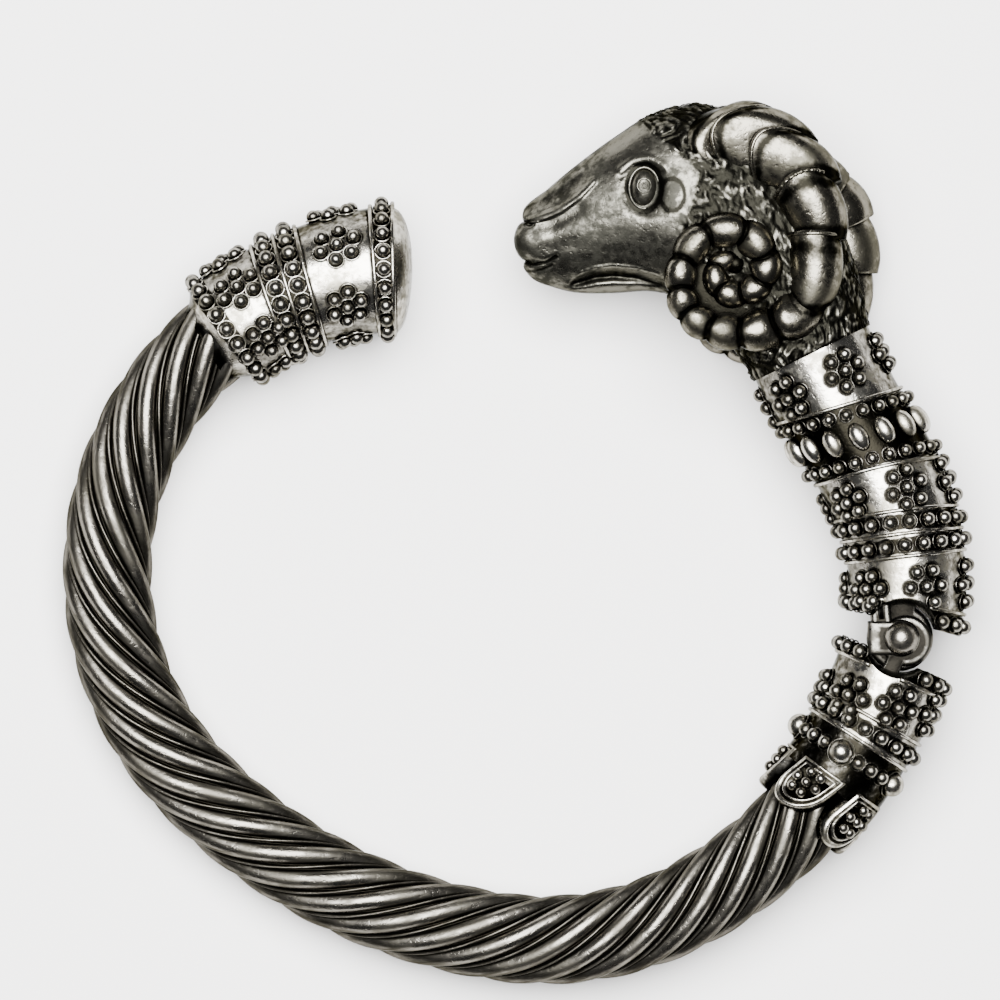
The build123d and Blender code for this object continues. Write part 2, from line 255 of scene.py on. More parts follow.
def ends(rows: int, columns: int) -> np.ndarray:
    """Gives the faces that close the first and last row of a round grid.

    Each joins two neighbours of a row to the two that lie opposite.

    Args:
        rows: Rows of the grid.
        columns: Columns, an even number.

    Returns:
        Rows of four point numbers.
    """
    k = np.arange(columns // 2 - 1)
    first = np.stack([k, columns - 1 - k, columns - 2 - k, k + 1], -1)
    return np.concatenate([first, (first + (rows - 1) * columns)[:, ::-1]])


def across(normals: np.ndarray) -> np.ndarray:
    """Gives a direction square to each normal: its product with z, or with x where it is steep."""
    guide = np.where(np.abs(normals[:, 2:]) < 0.9, [[0, 0, 1.0]], [[1.0, 0, 0]])
    return np.cross(normals, guide)


@dataclass
class Shell:
    """Points, faces and surface values of a mesh that is being put together."""

    points: list[np.ndarray] = field(default_factory=list)
    # Tarnish in the recesses, and painted shade on flanks, edges and in the hinge room, from 0 to
    # 1.
    tarnish_and_shade: list[np.ndarray] = field(default_factory=list)
    faces: list[np.ndarray] = field(default_factory=list)
    count: int = 0
    streak: np.ndarray | None = None

    def add(self, points: np.ndarray, tarnish_and_shade: np.ndarray, faces: np.ndarray) -> None:
        """Adds points and closed faces, turned outwards.

        The volume inside is a sixth of the sum of the triangles' triple products, and is under 0
        where they face inwards.

        Args:
            points: Positions in millimetres.
            tarnish_and_shade: How deep in a recess each point is, or how much painted shade it
                gets, from 0 to 1.
            faces: Rows of four indices into the points.
        """
        points = points.reshape(-1, 3)
        a, b, c, d = (points[faces[:, k]] for k in range(4))
        if (a * (np.cross(b, c) + np.cross(c, d))).sum() < 0:
            faces = faces[:, ::-1]
        self.points.append(points)
        self.tarnish_and_shade.append(np.clip(tarnish_and_shade, 0, 1).reshape(-1))
        self.faces.append(faces + self.count)
        self.count += len(points)

    def grid(
        self, points: np.ndarray, tarnish_and_shade: np.ndarray | float = 0.0, looped: bool = False
    ) -> None:
        """Adds a closed surface given on a grid whose last column joins the first.

        Args:
            points: Array of rows by columns by three.
            tarnish_and_shade: One value for each point, or for all.
            looped: Whether the last row joins the first. Otherwise both are closed.
        """
        rows, columns = points.shape[:2]
        index = np.arange(rows * columns).reshape(rows, columns)
        index = np.concatenate([index, index[:, :1]], 1)
        if looped:
            faces = quads(np.concatenate([index, index[:1]], 0))
        else:
            faces = np.concatenate([quads(index), ends(rows, columns)])
        self.add(points, np.broadcast_to(tarnish_and_shade, (rows, columns)), faces)

    def balls(
        self,
        centres: np.ndarray,
        normals: np.ndarray,
        radius: float,
        along: np.ndarray | None = None,
        stretch: float = 1.0,
        sides: int = 14,
        rings: int = 9,
        tone: float = 0.0,
    ) -> None:
        """Adds granules: spheres with a pole away from the wall, stretched along one direction.

        A point at a height angle a and a turn b lies at sin a, cos a cos b and cos a sin b, times
        the radius. The flat ends are one at the wall and a small one at the top.

        Args:
            centres: One position in each row.
            normals: The direction away from the wall of each.
            radius: Radius of all.
            along: Direction of the stretch.
            stretch: Length over width.
            sides: Points around.
            rings: Points from end to end.
            tone: Least recess value of the whole granule.
        """
        low, high = -72.0, 84.6
        centres, normals = centres.reshape(-1, 3), normals.reshape(-1, 3)
        tilt, turn = np.linspace(low, high, rings)[:, None], around(sides)[None, :]
        flat = np.zeros_like(turn)
        ball = [cosine(tilt) * cosine(turn), cosine(tilt) * sine(turn), sine(tilt) + flat]
        unit = np.stack(ball, -1).reshape(-1, 3)
        along = (across(normals) if along is None else along).reshape(-1, 3)
        along = along - (along * normals).sum(1, keepdims=True) * normals
        along /= np.linalg.norm(along, axis=1, keepdims=True)
        beside = np.cross(normals, along)
        points = centres[:, None] + radius * (
            unit[None, :, :1] * along[:, None] * stretch
            + unit[None, :, 1:2] * beside[:, None]
            + unit[None, :, 2:] * normals[:, None]
        )
        tarnish_and_shade = np.maximum(tone, 1 - smooth(-0.35, 0.62, unit[:, 2]))
        index = np.arange(rings * sides).reshape(rings, sides)
        index = np.concatenate([index, index[:, :1]], 1)
        one = np.concatenate([quads(index), ends(rings, sides)])
        faces = one[None] + (np.arange(len(centres)) * rings * sides)[:, None, None]
        shape = (len(centres), len(unit))
        self.add(points, np.broadcast_to(tarnish_and_shade, shape), faces.reshape(-1, 4))

    def collars(
        self,
        centres: np.ndarray,
        normals: np.ndarray,
        radius: float,
        drop: float,
        dark: float = 0.6,
    ) -> None:
        """Adds a thin round collar about the foot of each granule.

        A point at a turn a about the granule and b about the collar lies at the radius plus the
        wire's times cos b from the middle, and at the wire's times sin b over the wall.

        Args:
            centres: One position in each row.
            normals: The direction away from the wall of each.
            radius: Radius of the collars.
            drop: Distance from the granule's middle down to the collar.
            dark: Recess value of the collar.
        """
        steps, sides, wire = 18, 5, 0.075
        along = across(normals)
        along /= np.linalg.norm(along, axis=1, keepdims=True)
        beside = np.cross(normals, along)
        a, b = around(steps)[:, None], around(sides)[None, :]
        reach = radius + wire * cosine(b)
        level = (wire * sine(b) - drop) + 0 * a
        points = (
            centres[:, None, None]
            + (reach * cosine(a))[None, ..., None] * along[:, None, None]
            + (reach * sine(a))[None, ..., None] * beside[:, None, None]
            + level[None, ..., None] * normals[:, None, None]
        )
        index = np.arange(steps * sides).reshape(steps, sides)
        index = np.concatenate([index, index[:1]], 0)
        index = np.concatenate([index, index[:, :1]], 1)
        faces = quads(index)[None] + (np.arange(len(centres)) * steps * sides)[:, None, None]
        self.add(points, np.full((len(centres), steps * sides), dark), faces.reshape(-1, 4))

    def cord(
        self,
        path: np.ndarray,
        radius: np.ndarray | float,
        closed: bool = True,
        sides: int = 8,
        tarnish_and_shade: float = 0.2,
    ) -> None:
        """Adds a wire: a circle carried along a path.

        Args:
            path: Positions, one in each row.
            radius: Radius of each, or of all.
            closed: Whether the path joins up.
            sides: Points around the wire.
            tarnish_and_shade: Recess value of the whole wire.
        """
        if closed:
            run = np.roll(path, -1, 0) - np.roll(path, 1, 0)
        else:
            run = np.gradient(path, axis=0)
        run /= np.linalg.norm(run, axis=1, keepdims=True)
        guide = UP if abs(run[:, 2]).max() < 0.95 else np.array([0.3, 0.9, 0.2])
        beside = np.cross(run, guide)
        beside /= np.linalg.norm(beside, axis=1, keepdims=True)
        lift = np.cross(beside, run)
        turn = around(sides)[None, :, None]
        radius = np.broadcast_to(radius, (len(path),))[:, None, None]
        ring = cosine(turn) * beside[:, None] + sine(turn) * lift[:, None]
        self.grid(path[:, None] + radius * ring, tarnish_and_shade, looped=closed)

    def build(self, name: str, lie: Lie, material: bpy.types.Material) -> bpy.types.Object:
        """Makes the mesh object.

        Args:
            name: Name of the piece.
            lie: Placement on the table.
            material: Its finish.

        Returns:
            The object, at the origin, with its place in the mesh.
        """
        points = lie.place(np.concatenate(self.points))
        faces = np.concatenate(self.faces)
        mesh = bpy.data.meshes.new(name)
        mesh.vertices.add(len(points))
        mesh.vertices.foreach_set("co", points.ravel())
        mesh.loops.add(faces.size)
        mesh.loops.foreach_set("vertex_index", faces.ravel().astype(np.int32))
        mesh.polygons.add(len(faces))
        mesh.polygons.foreach_set("loop_start", np.arange(0, faces.size, 4, dtype=np.int32))
        mesh.update(calc_edges=True)
        mesh.validate()
        # The attribute holds the tarnish and the painted shade.
        layer = mesh.attributes.new("tarnish_and_shade", "FLOAT", "POINT")
        layer.data.foreach_set("value", np.concatenate(self.tarnish_and_shade).astype(np.float32))
        if self.streak is not None:
            layer = mesh.attributes.new("streak", "FLOAT_VECTOR", "POINT")
            layer.data.foreach_set("vector", self.streak.astype(np.float32).ravel())
        mesh.shade_smooth()
        mesh.materials.append(material)
        piece = bpy.data.objects.new(name, mesh)
        bpy.context.scene.collection.objects.link(piece)
        return piece


def flank(angle: np.ndarray, value: float = 0.56) -> np.ndarray:
    """Painted shade on the flanks, given as a tarnish value: it grows with the sine of the angle
    from the top.
    """
    return value * smooth(0.45, 0.88, np.abs(sine(angle)))


def near_dark(
    points: np.ndarray, centres: np.ndarray, radii: np.ndarray, spread: float = 0.18
) -> np.ndarray:
    """Darkens a wall around granules: e to the minus of the distance from the nearest over spread.

    Args:
        points: Positions on the wall, in an array of any shape with a last axis of three.
        centres: Middles of the granules, one in each row.
        radii: Their radii.
        spread: Distance over which the value falls to about a third.

    Returns:
        Recess values from 0 to 1.
    """
    flat = points.reshape(-1, 3)
    best = np.full(len(flat), np.inf)
    for centre, radius in zip(centres, radii):
        best = np.minimum(best, np.linalg.norm(flat - centre, axis=1) - radius)
    return np.exp(-np.clip(best, 0, None) / spread).reshape(points.shape[:-1])


@dataclass(frozen=True)
class Grain:
    """Noise: waves in a metre, octaves and the share of the finer ones."""

    scale: float
    detail: float
    rough: float


COARSE = Grain(260, 4, 0.62)
FINE = Grain(1500, 4, 0.65)
PITS = Grain(3200, 2, 0.5)
DENTS = Grain(620, 2, 0.5)


@dataclass(frozen=True)
class Wiring:
    """Adds nodes to a node tree and joins them up."""

    tree: bpy.types.NodeTree

    def noise(self, grain: Grain, place: bpy.types.NodeSocket) -> bpy.types.NodeSocket:
        """Adds noise.

        Args:
            grain: Its scale, detail and roughness.
            place: Vector that it follows.

        Returns:
            The noise, from 0 to 1.
        """
        node = self.tree.nodes.new("ShaderNodeTexNoise")
        node.inputs["Scale"].default_value = grain.scale
        node.inputs["Detail"].default_value = grain.detail
        node.inputs["Roughness"].default_value = grain.rough
        self.tree.links.new(place, node.inputs["Vector"])
        return node.outputs["Fac"]

    def maths(
        self,
        kind: str,
        a: bpy.types.NodeSocket | float,
        b: bpy.types.NodeSocket | float,
        clamp: bool = False,
    ) -> bpy.types.NodeSocket:
        """Adds a sum.

        Args:
            kind: Operation of the Math node.
            a: First value.
            b: Second value.
            clamp: Whether the result stays between 0 and 1.

        Returns:
            The result.
        """
        node = self.tree.nodes.new("ShaderNodeMath")
        node.operation = kind
        node.use_clamp = clamp
        for slot, value in zip(node.inputs, (a, b)):
            if isinstance(value, (int, float)):
                slot.default_value = value
            else:
                self.tree.links.new(value, slot)
        return node.outputs[0]

    def ragged(
        self, value: bpy.types.NodeSocket, fine: bpy.types.NodeSocket, share: float
    ) -> bpy.types.NodeSocket:
        """Adds noise about its middle to a value.

        Args:
            value: The value.
            fine: The noise.
            share: Factor of the noise.

        Returns:
            The value plus the share of the noise less a half.
        """
        wave = self.maths("MULTIPLY", self.maths("SUBTRACT", fine, 0.5), share)
        return self.maths("ADD", value, wave)

    def ramp(self, value: bpy.types.NodeSocket, low: float, high: float) -> bpy.types.NodeSocket:
        """Adds a smooth step.

        Args:
            value: The value.
            low: Where the step starts.
            high: Where it ends.

        Returns:
            The step, from 0 to 1.
        """
        node = self.tree.nodes.new("ShaderNodeMapRange")
        node.interpolation_type = "SMOOTHSTEP"
        node.inputs["From Min"].default_value = low
        node.inputs["From Max"].default_value = high
        self.tree.links.new(value, node.inputs["Value"])
        return node.outputs["Result"]

    def mix(
        self, share: bpy.types.NodeSocket, a: bpy.types.NodeSocket, b: bpy.types.NodeSocket
    ) -> bpy.types.NodeSocket:
        """Adds a mix of two colours.

        Args:
            share: Share of the second.
            a: First colour.
            b: Second colour.

        Returns:
            The mix.
        """
        node = self.tree.nodes.new("ShaderNodeMix")
        node.data_type = "RGBA"
        self.tree.links.new(share, node.inputs["Factor"])
        self.tree.links.new(a, node.inputs["A"])
        self.tree.links.new(b, node.inputs["B"])
        return node.outputs["Result"]


def tarnished_metal() -> bpy.types.NodeTree:
    """Builds the node group that all finishes share.

    The recess value, which also holds painted shade, plus fine noise drives the change from worn
    metal to the dark colour of tarnish and painted shade. Coarse noise lays stains on the worn
    metal. The height is fine noise, shallow dents and pits.

    Returns:
        The node group.
    """
    tree = bpy.data.node_groups.new("TarnishedMetal", "ShaderNodeTree")
    face = tree.interface
    for name in ("Bright", "Dark", "Stain"):
        face.new_socket(name, in_out="INPUT", socket_type="NodeSocketColor")
    face.new_socket("Streak", in_out="INPUT", socket_type="NodeSocketVector")
    for name in ("TarnishAndShade", "Gloss", "Rough", "Blotch"):
        face.new_socket(name, in_out="INPUT", socket_type="NodeSocketFloat")
    face.new_socket("Base Color", in_out="OUTPUT", socket_type="NodeSocketColor")
    for name in ("Roughness", "Height"):
        face.new_socket(name, in_out="OUTPUT", socket_type="NodeSocketFloat")
    given = tree.nodes.new("NodeGroupInput").outputs
    out = tree.nodes.new("NodeGroupOutput").inputs
    solid = tree.nodes.new("ShaderNodeTexCoord").outputs["Object"]
    wire = Wiring(tree)
    coarse = wire.noise(COARSE, solid)
    fine = wire.noise(FINE, given["Streak"])
    pits = wire.noise(PITS, solid)
    # deep is the share of the dark colour: tarnish in recesses, and painted shade where the value
    # holds it.
    deep = wire.ramp(wire.ragged(given["TarnishAndShade"], fine, 0.55), 0.22, 0.72)
    patches = wire.ramp(wire.ragged(coarse, fine, 0.6), 0.42, 0.64)
    stained = wire.maths("MULTIPLY", patches, given["Blotch"])
    colour = wire.mix(deep, wire.mix(stained, given["Bright"], given["Stain"]), given["Dark"])
    tree.links.new(colour, out["Base Color"])
    dull = wire.maths("ADD", given["Gloss"], wire.maths("MULTIPLY", fine, 0.14))
    base = wire.maths("ADD", dull, wire.maths("MULTIPLY", stained, 0.25))
    span = wire.maths("SUBTRACT", given["Rough"], base)
    rough = wire.maths("ADD", base, wire.maths("MULTIPLY", span, deep), True)
    tree.links.new(rough, out["Roughness"])
    dents = wire.maths("MULTIPLY", wire.noise(DENTS, solid), 1.6)
    wear = wire.maths("ADD", wire.maths("MULTIPLY", fine, 0.6), dents)
    pitted = wire.maths("MULTIPLY", wire.ramp(pits, 0.28, 0.46), 0.3)
    tree.links.new(wire.maths("ADD", wear, pitted), out["Height"])
    return tree


@dataclass(frozen=True)
class Metal:
    """Antique silver: bright worn metal with dark tarnish in the recesses and faint blotches; the
    dark colour is also painted as shade.
    """

    name: str
    bright: Triple = (0.155, 0.145, 0.125)
    dark: Triple = (0.010, 0.009, 0.0065)
    stain: Triple = (0.045, 0.042, 0.032)
    gloss: float = 0.19
    rough: float = 0.36
    blotch: float = 0.65
    grain: float = 0.2
    streaked: bool = False
    relief: float = 0.00012
    edge_tint: Triple = (0.42, 0.42, 0.41)

    def material(self, tree: bpy.types.NodeTree) -> bpy.types.Material:
        """Makes a material that uses the group.

        Args:
            tree: The shared group.

        Returns:
            The material.
        """
        material = bpy.data.materials.new(self.name)
        material.use_nodes = True
        nodes, links = material.node_tree.nodes, material.node_tree.links
        nodes.clear()
        out = nodes.new("ShaderNodeOutputMaterial")
        body = nodes.new("ShaderNodeBsdfPrincipled")
        body.inputs["Metallic"].default_value = 1.0
        body.inputs["Specular Tint"].default_value = (*self.edge_tint, 1)
        links.new(body.outputs["BSDF"], out.inputs["Surface"])
        shared = nodes.new("ShaderNodeGroup")
        shared.node_tree = tree
        for key, value in (("Bright", self.bright), ("Dark", self.dark), ("Stain", self.stain)):
            shared.inputs[key].default_value = (*value, 1)
        for key, value in (("Gloss", self.gloss), ("Rough", self.rough), ("Blotch", self.blotch)):
            shared.inputs[key].default_value = value
        layer = nodes.new("ShaderNodeAttribute")
        layer.attribute_name = "tarnish_and_shade"
        links.new(layer.outputs["Fac"], shared.inputs["TarnishAndShade"])
        if self.streaked:
            place = nodes.new("ShaderNodeAttribute")
            place.attribute_name = "streak"
            links.new(place.outputs["Vector"], shared.inputs["Streak"])
        else:
            place = nodes.new("ShaderNodeTexCoord")
            links.new(place.outputs["Object"], shared.inputs["Streak"])
        links.new(shared.outputs["Base Color"], body.inputs["Base Color"])
        links.new(shared.outputs["Roughness"], body.inputs["Roughness"])
        bump = nodes.new("ShaderNodeBump")
        bump.inputs["Strength"].default_value = self.grain
        bump.inputs["Distance"].default_value = self.relief
        links.new(shared.outputs["Height"], bump.inputs["Height"])
        links.new(bump.outputs["Normal"], body.inputs["Normal"])
        return material


BAR_METAL = Metal("antique_silver_tarnished", grain=0.3, streaked=True)
PIN_METAL = Metal("antique_silver_pin")
BRIGHT_METAL = Metal(
    "antique_silver_bright",
    bright=(0.44, 0.42, 0.37),
    dark=(0.006, 0.0055, 0.004),
    stain=(0.15, 0.138, 0.10),
    gloss=0.12,
    rough=0.24,
    blotch=0.75,
    grain=0.22,
)
FACE_METAL = Metal(
    "antique_silver_face",
    bright=(0.10, 0.096, 0.08),
    dark=(0.006, 0.0058, 0.0045),
    stain=(0.026, 0.0255, 0.021),
    gloss=0.22,
    rough=0.36,
    blotch=0.95,
    grain=0.3,
)
HORN_METAL = Metal(
    "antique_silver_horn",
    bright=(0.135, 0.126, 0.102),
    dark=(0.005, 0.0047, 0.0035),
    stain=(0.038, 0.036, 0.026),
    gloss=0.15,
    rough=0.32,
    blotch=0.75,
    grain=0.26,
)
HINGE_METAL = Metal(
    "antique_silver_hinge",
    bright=(0.11, 0.105, 0.092),
    dark=(0.006, 0.0055, 0.0045),
    stain=(0.045, 0.042, 0.034),
    gloss=0.2,
    rough=0.34,
    blotch=0.8,
    grain=0.2,
)


@dataclass
class Piece:
    """A visible piece: where it is drawn, its finish and its mesh."""

    line: CentreLine
    lie: Lie
    material: bpy.types.Material
    shell: Shell = field(default_factory=Shell)

    def finish(self, name: str, body: Body, node: str = "") -> None:
        """Args:
            name: Name of the piece.
            body: Body that it rides on.
            node: CAD node that it replaces, or nothing where it lies with one that does.
        """
        piece = self.shell.build(name, self.lie, self.material)
        if node:
            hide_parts(node)
        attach(piece, body.value)
        LOG.info("%s: %d points on the %s", name, self.shell.count, body.value)


@dataclass
class Cable(Piece):
    """Twisted bar of wide strands with a thin ridge in the groove between each two."""

    start: float = 15.0
    end: float = 122.6
    rows: int = 360
    twist_start: float = 13.14
    strands: int = 8
    pitch: float = 34.4
    radius: float = 3.85
    depth: float = 0.66
    strand_share: float = 0.80
    ridge_share: float = 0.07
    ridge_height: float = 0.36
    groove: float = 0.1
    # Strength of the painted shade on the bar's flanks.
    flank_dark: float = 0.5
    streak_length: float = 0.16
    streak_size: float = 1.3

    def profile(self, share: np.ndarray) -> Found:
        """Gives the radius across one strand.

        The strand's back falls off with the 2.2nd power from its middle; the ridge is a half circle
        in the middle of the groove.

        Args:
            share: Place across the strand, from -0.5 to 0.5 with 0 at its middle.

        Returns:
            Radius in millimetres and recess value.
        """
        half = self.strand_share / 2
        off = np.abs(share)
        low = self.radius - self.depth
        back = self.radius - self.depth * np.clip(off / half, 0, 1) ** 2.2
        ridge = np.sqrt(np.clip(1 - ((0.5 - off) / self.ridge_share) ** 2, 0, 1))
        valley = low + self.ridge_height * ridge - self.groove * (ridge == 0)
        tarnish_and_shade = np.where(off < half, 0.92 * smooth(0.58, 1.0, off / half), 1.0 - 0.56 * ridge)
        return np.where(off < half, back, valley), tarnish_and_shade

    def shares(self) -> np.ndarray:
        """Gives the places of the points across one strand, close together at the ridge."""
        half, edge = self.strand_share / 2, 0.5 - self.ridge_share
        foot = [half + 0.008, edge - 0.006, edge + 0.004, edge + 0.025, edge + 0.05, 0.5]
        right = [*np.linspace(0, half, 11), *foot]
        return np.array([-value for value in right[:0:-1]] + right[:-1])

    def create(self) -> None:
        """Makes the bar: the profile turned by its twist, which grows evenly along the line.

        The streak attribute runs across and, drawn out, along the strands.
        """
        share = self.shares()
        place = np.linspace(self.start, self.end, self.rows)[:, None]
        strand = np.arange(self.strands)
        angle = ((strand[:, None] + share[None, :]) * 360 / self.strands).reshape(1, -1)
        angle = angle - 360 * (place - self.twist_start) / self.pitch
        radius, tarnish_and_shade = self.profile(np.tile(share, self.strands)[None, :])
        width, apart = 2 * math.pi * self.radius / self.strands, 5.0
        over = np.tile(share, self.strands) * width + np.repeat(strand, len(share)) * apart
        along = (place - self.start) * self.streak_length + 0 * over
        streak = np.stack([over + 0 * place, along, 0 * along], -1)
        self.shell.streak = streak.reshape(-1, 3) * MM * self.streak_size
        points = self.line.points(place, radius, angle)
        # The bar's value is the larger of the tarnish in its grooves and the painted shade on its
        # flanks.
        self.shell.grid(points, np.maximum(tarnish_and_shade, flank(angle, self.flank_dark)))
        self.finish("cable", Body.HOOP, "cable_hoop")


@dataclass(frozen=True)
class Band:
    """Ring of granules: place along the line, number, radius, lean and angle of one in degrees."""

    place: float
    count: int
    radius: float
    lean: float = 0.0
    turn: float = 0.0


@dataclass(frozen=True)
class Field:
    """Ring of rosettes: place along the line, number, angle of one, lean, and spin of each."""

    place: float
    count: int
    turn: float
    lean: float = 0.0
    spin: float = 25.0


@dataclass(frozen=True)
class Ring:
    """Thin wire around a wall: place along the line, lean in degrees and radius of the wire."""

    place: float
    lean: float
    thick: float = 0.18


@dataclass
class Ferrule(Piece):
    """Round body along the line with wires, bands, rosettes and a wall."""

    rise: float = 0.28
    pin_place: float = 136.0
    room: float = 3.4
    waist: float = 0.5
    waist_height: float = 4.6
    collar_dark: float = 0.62
    strip_dark: float = 0.86
    granule_tone: float = 0.5
    wire_dark: float = 0.38
    wire_sink: float = 0.05
    rosette_size: float = 0.6
    rosette_spacing: float = 1.42

    def radius_at(self, place: np.ndarray | float) -> np.ndarray:
        """Gives the wall's radius at places along the line."""
        raise NotImplementedError

    def scoop(self, level: np.ndarray, height: np.ndarray) -> np.ndarray:
        """Gives the reach of the hinge's round room along the line, less at its middle height."""
        room = self.room - self.waist * (1 - np.clip(height / self.waist_height, -1, 1) ** 2)
        return np.sqrt(np.clip(room**2 - level**2, 0, None))

    def clear_of_pin(self, centres: np.ndarray, margin: float) -> np.ndarray:
        """Tells which points keep clear of the hinge's round room by a margin."""
        pin = self.line.spots(self.pin_place)[0]
        return np.hypot(*(centres - pin)[:, :2].T) > self.room + margin

    def granules(
        self,
        place: np.ndarray,
        reach: float,
        angle: np.ndarray,
        size: float,
        ring: float,
        foot: float,
    ) -> Found:
        """Adds granules with collars, apart from those in the hinge's room.

        Args:
            place: Distances along the line.
            reach: Distance of the middles from it.
            angle: Angles around it in degrees.
            size: Radius of a granule.
            ring: Radius of a collar.
            foot: Height of the collars over the wall.

        Returns:
            The granules' centres and radii.
        """
        centres = self.line.points(place, reach, angle)
        normals = self.line.away(place, angle)
        keep = self.clear_of_pin(centres, size / 2)
        centres, normals = centres[keep], normals[keep]
        self.shell.balls(centres, normals, size, tone=self.granule_tone)
        self.shell.collars(centres, normals, ring, self.rise - foot, self.collar_dark)
        return centres, np.full(len(centres), size)

    def band(self, row: Band) -> Found:
        """Adds a ring of granules.

        Args:
            row: The ring.

        Returns:
            The granules' centres and radii.
        """
        angle = row.turn + around(row.count)
        reach = float(self.radius_at(row.place)) + self.rise
        place = row.place - reach * sine(angle) * slope(row.lean)
        return self.granules(place, reach, angle, row.radius, row.radius * 1.14, 0.04)

    def strip(self, row: Band, place: np.ndarray, level: np.ndarray) -> np.ndarray:
        """Gives the recess value of the dark ground under a ring of granules."""
        off = np.abs(place + level * slope(row.lean) - row.place)
        return self.strip_dark * (1 - smooth(row.radius * 0.95, row.radius * 1.3, off))

    def rosettes(self, row: Field) -> Found:
        """Adds a ring of rosettes of seven granules, one in the middle and six around.

        Args:
            row: The ring.

        Returns:
            The granules' centres, and their radii with a margin.
        """
        spacing, margin = self.rosette_spacing, 0.12
        reach = float(self.radius_at(row.place)) + self.rise
        petals = around(6) + row.spin
        along = np.concatenate([[0.0], spacing * cosine(petals)])
        beside = np.concatenate([[0.0], spacing * sine(petals)])
        turns = (row.turn + around(row.count))[:, None]
        angle = (turns + np.degrees(beside / reach)[None, :]).ravel()
        place = (row.place + along[None, :] - reach * sine(turns) * slope(row.lean)).ravel()
        size = self.rosette_size
        centres, radii = self.granules(place, reach, angle, size, spacing / 2, 0.06)
        return centres, radii + margin

    def wire(self, row: Ring) -> None:
        """Adds a thin ring around the wall, open where it meets the hinge's round room.

        Args:
            row: The ring.
        """
        steps, margin, least = 96, 0.1, 3
        angle = around(steps)
        reach = self.radius_at(row.place) + row.thick - self.wire_sink
        place = row.place - reach * sine(angle) * slope(row.lean)
        path = self.line.points(place, reach, angle)
        keep = self.clear_of_pin(path, margin)
        if keep.all():
            self.shell.cord(path, row.thick, tarnish_and_shade=self.wire_dark)
            return
        order = np.roll(np.arange(steps), -int(np.argmax(~keep)))
        order = order[keep[order]]
        jumps = np.nonzero(np.diff(order) % steps != 1)[0] + 1
        for run in np.split(order, jumps):
            if len(run) > least:
                self.shell.cord(path[run], row.thick, closed=False, tarnish_and_shade=self.wire_dark)

    def wall_dark(
        self,
        points: np.ndarray,
        found: list[Found],
        angle: np.ndarray,
        rows: tuple[Band, ...],
        place: np.ndarray,
        level: np.ndarray,
    ) -> np.ndarray:
        """Gives the tarnish value of the wall: dark at granules and under the bands, with painted
        shade on the flanks.

        Args:
            points: Positions on the wall.
            found: Centres and radii of the granules.
            angle: Angles of the columns in degrees.
            rows: The bands.
            place: Distances of the points along the line.
            level: Their distances outwards.

        Returns:
            Tarnish values, with painted shade on the flanks.
        """
        centres = np.concatenate([centre for centre, _ in found])
        radii = np.concatenate([radius for _, radius in found])
        # Tarnish at granules, with painted shade on the flanks.
        tarnish_and_shade = np.maximum(near_dark(points, centres, radii), flank(angle))
        for row in rows:
            tarnish_and_shade = np.maximum(tarnish_and_shade, self.strip(row, place, level))
        return tarnish_and_shade


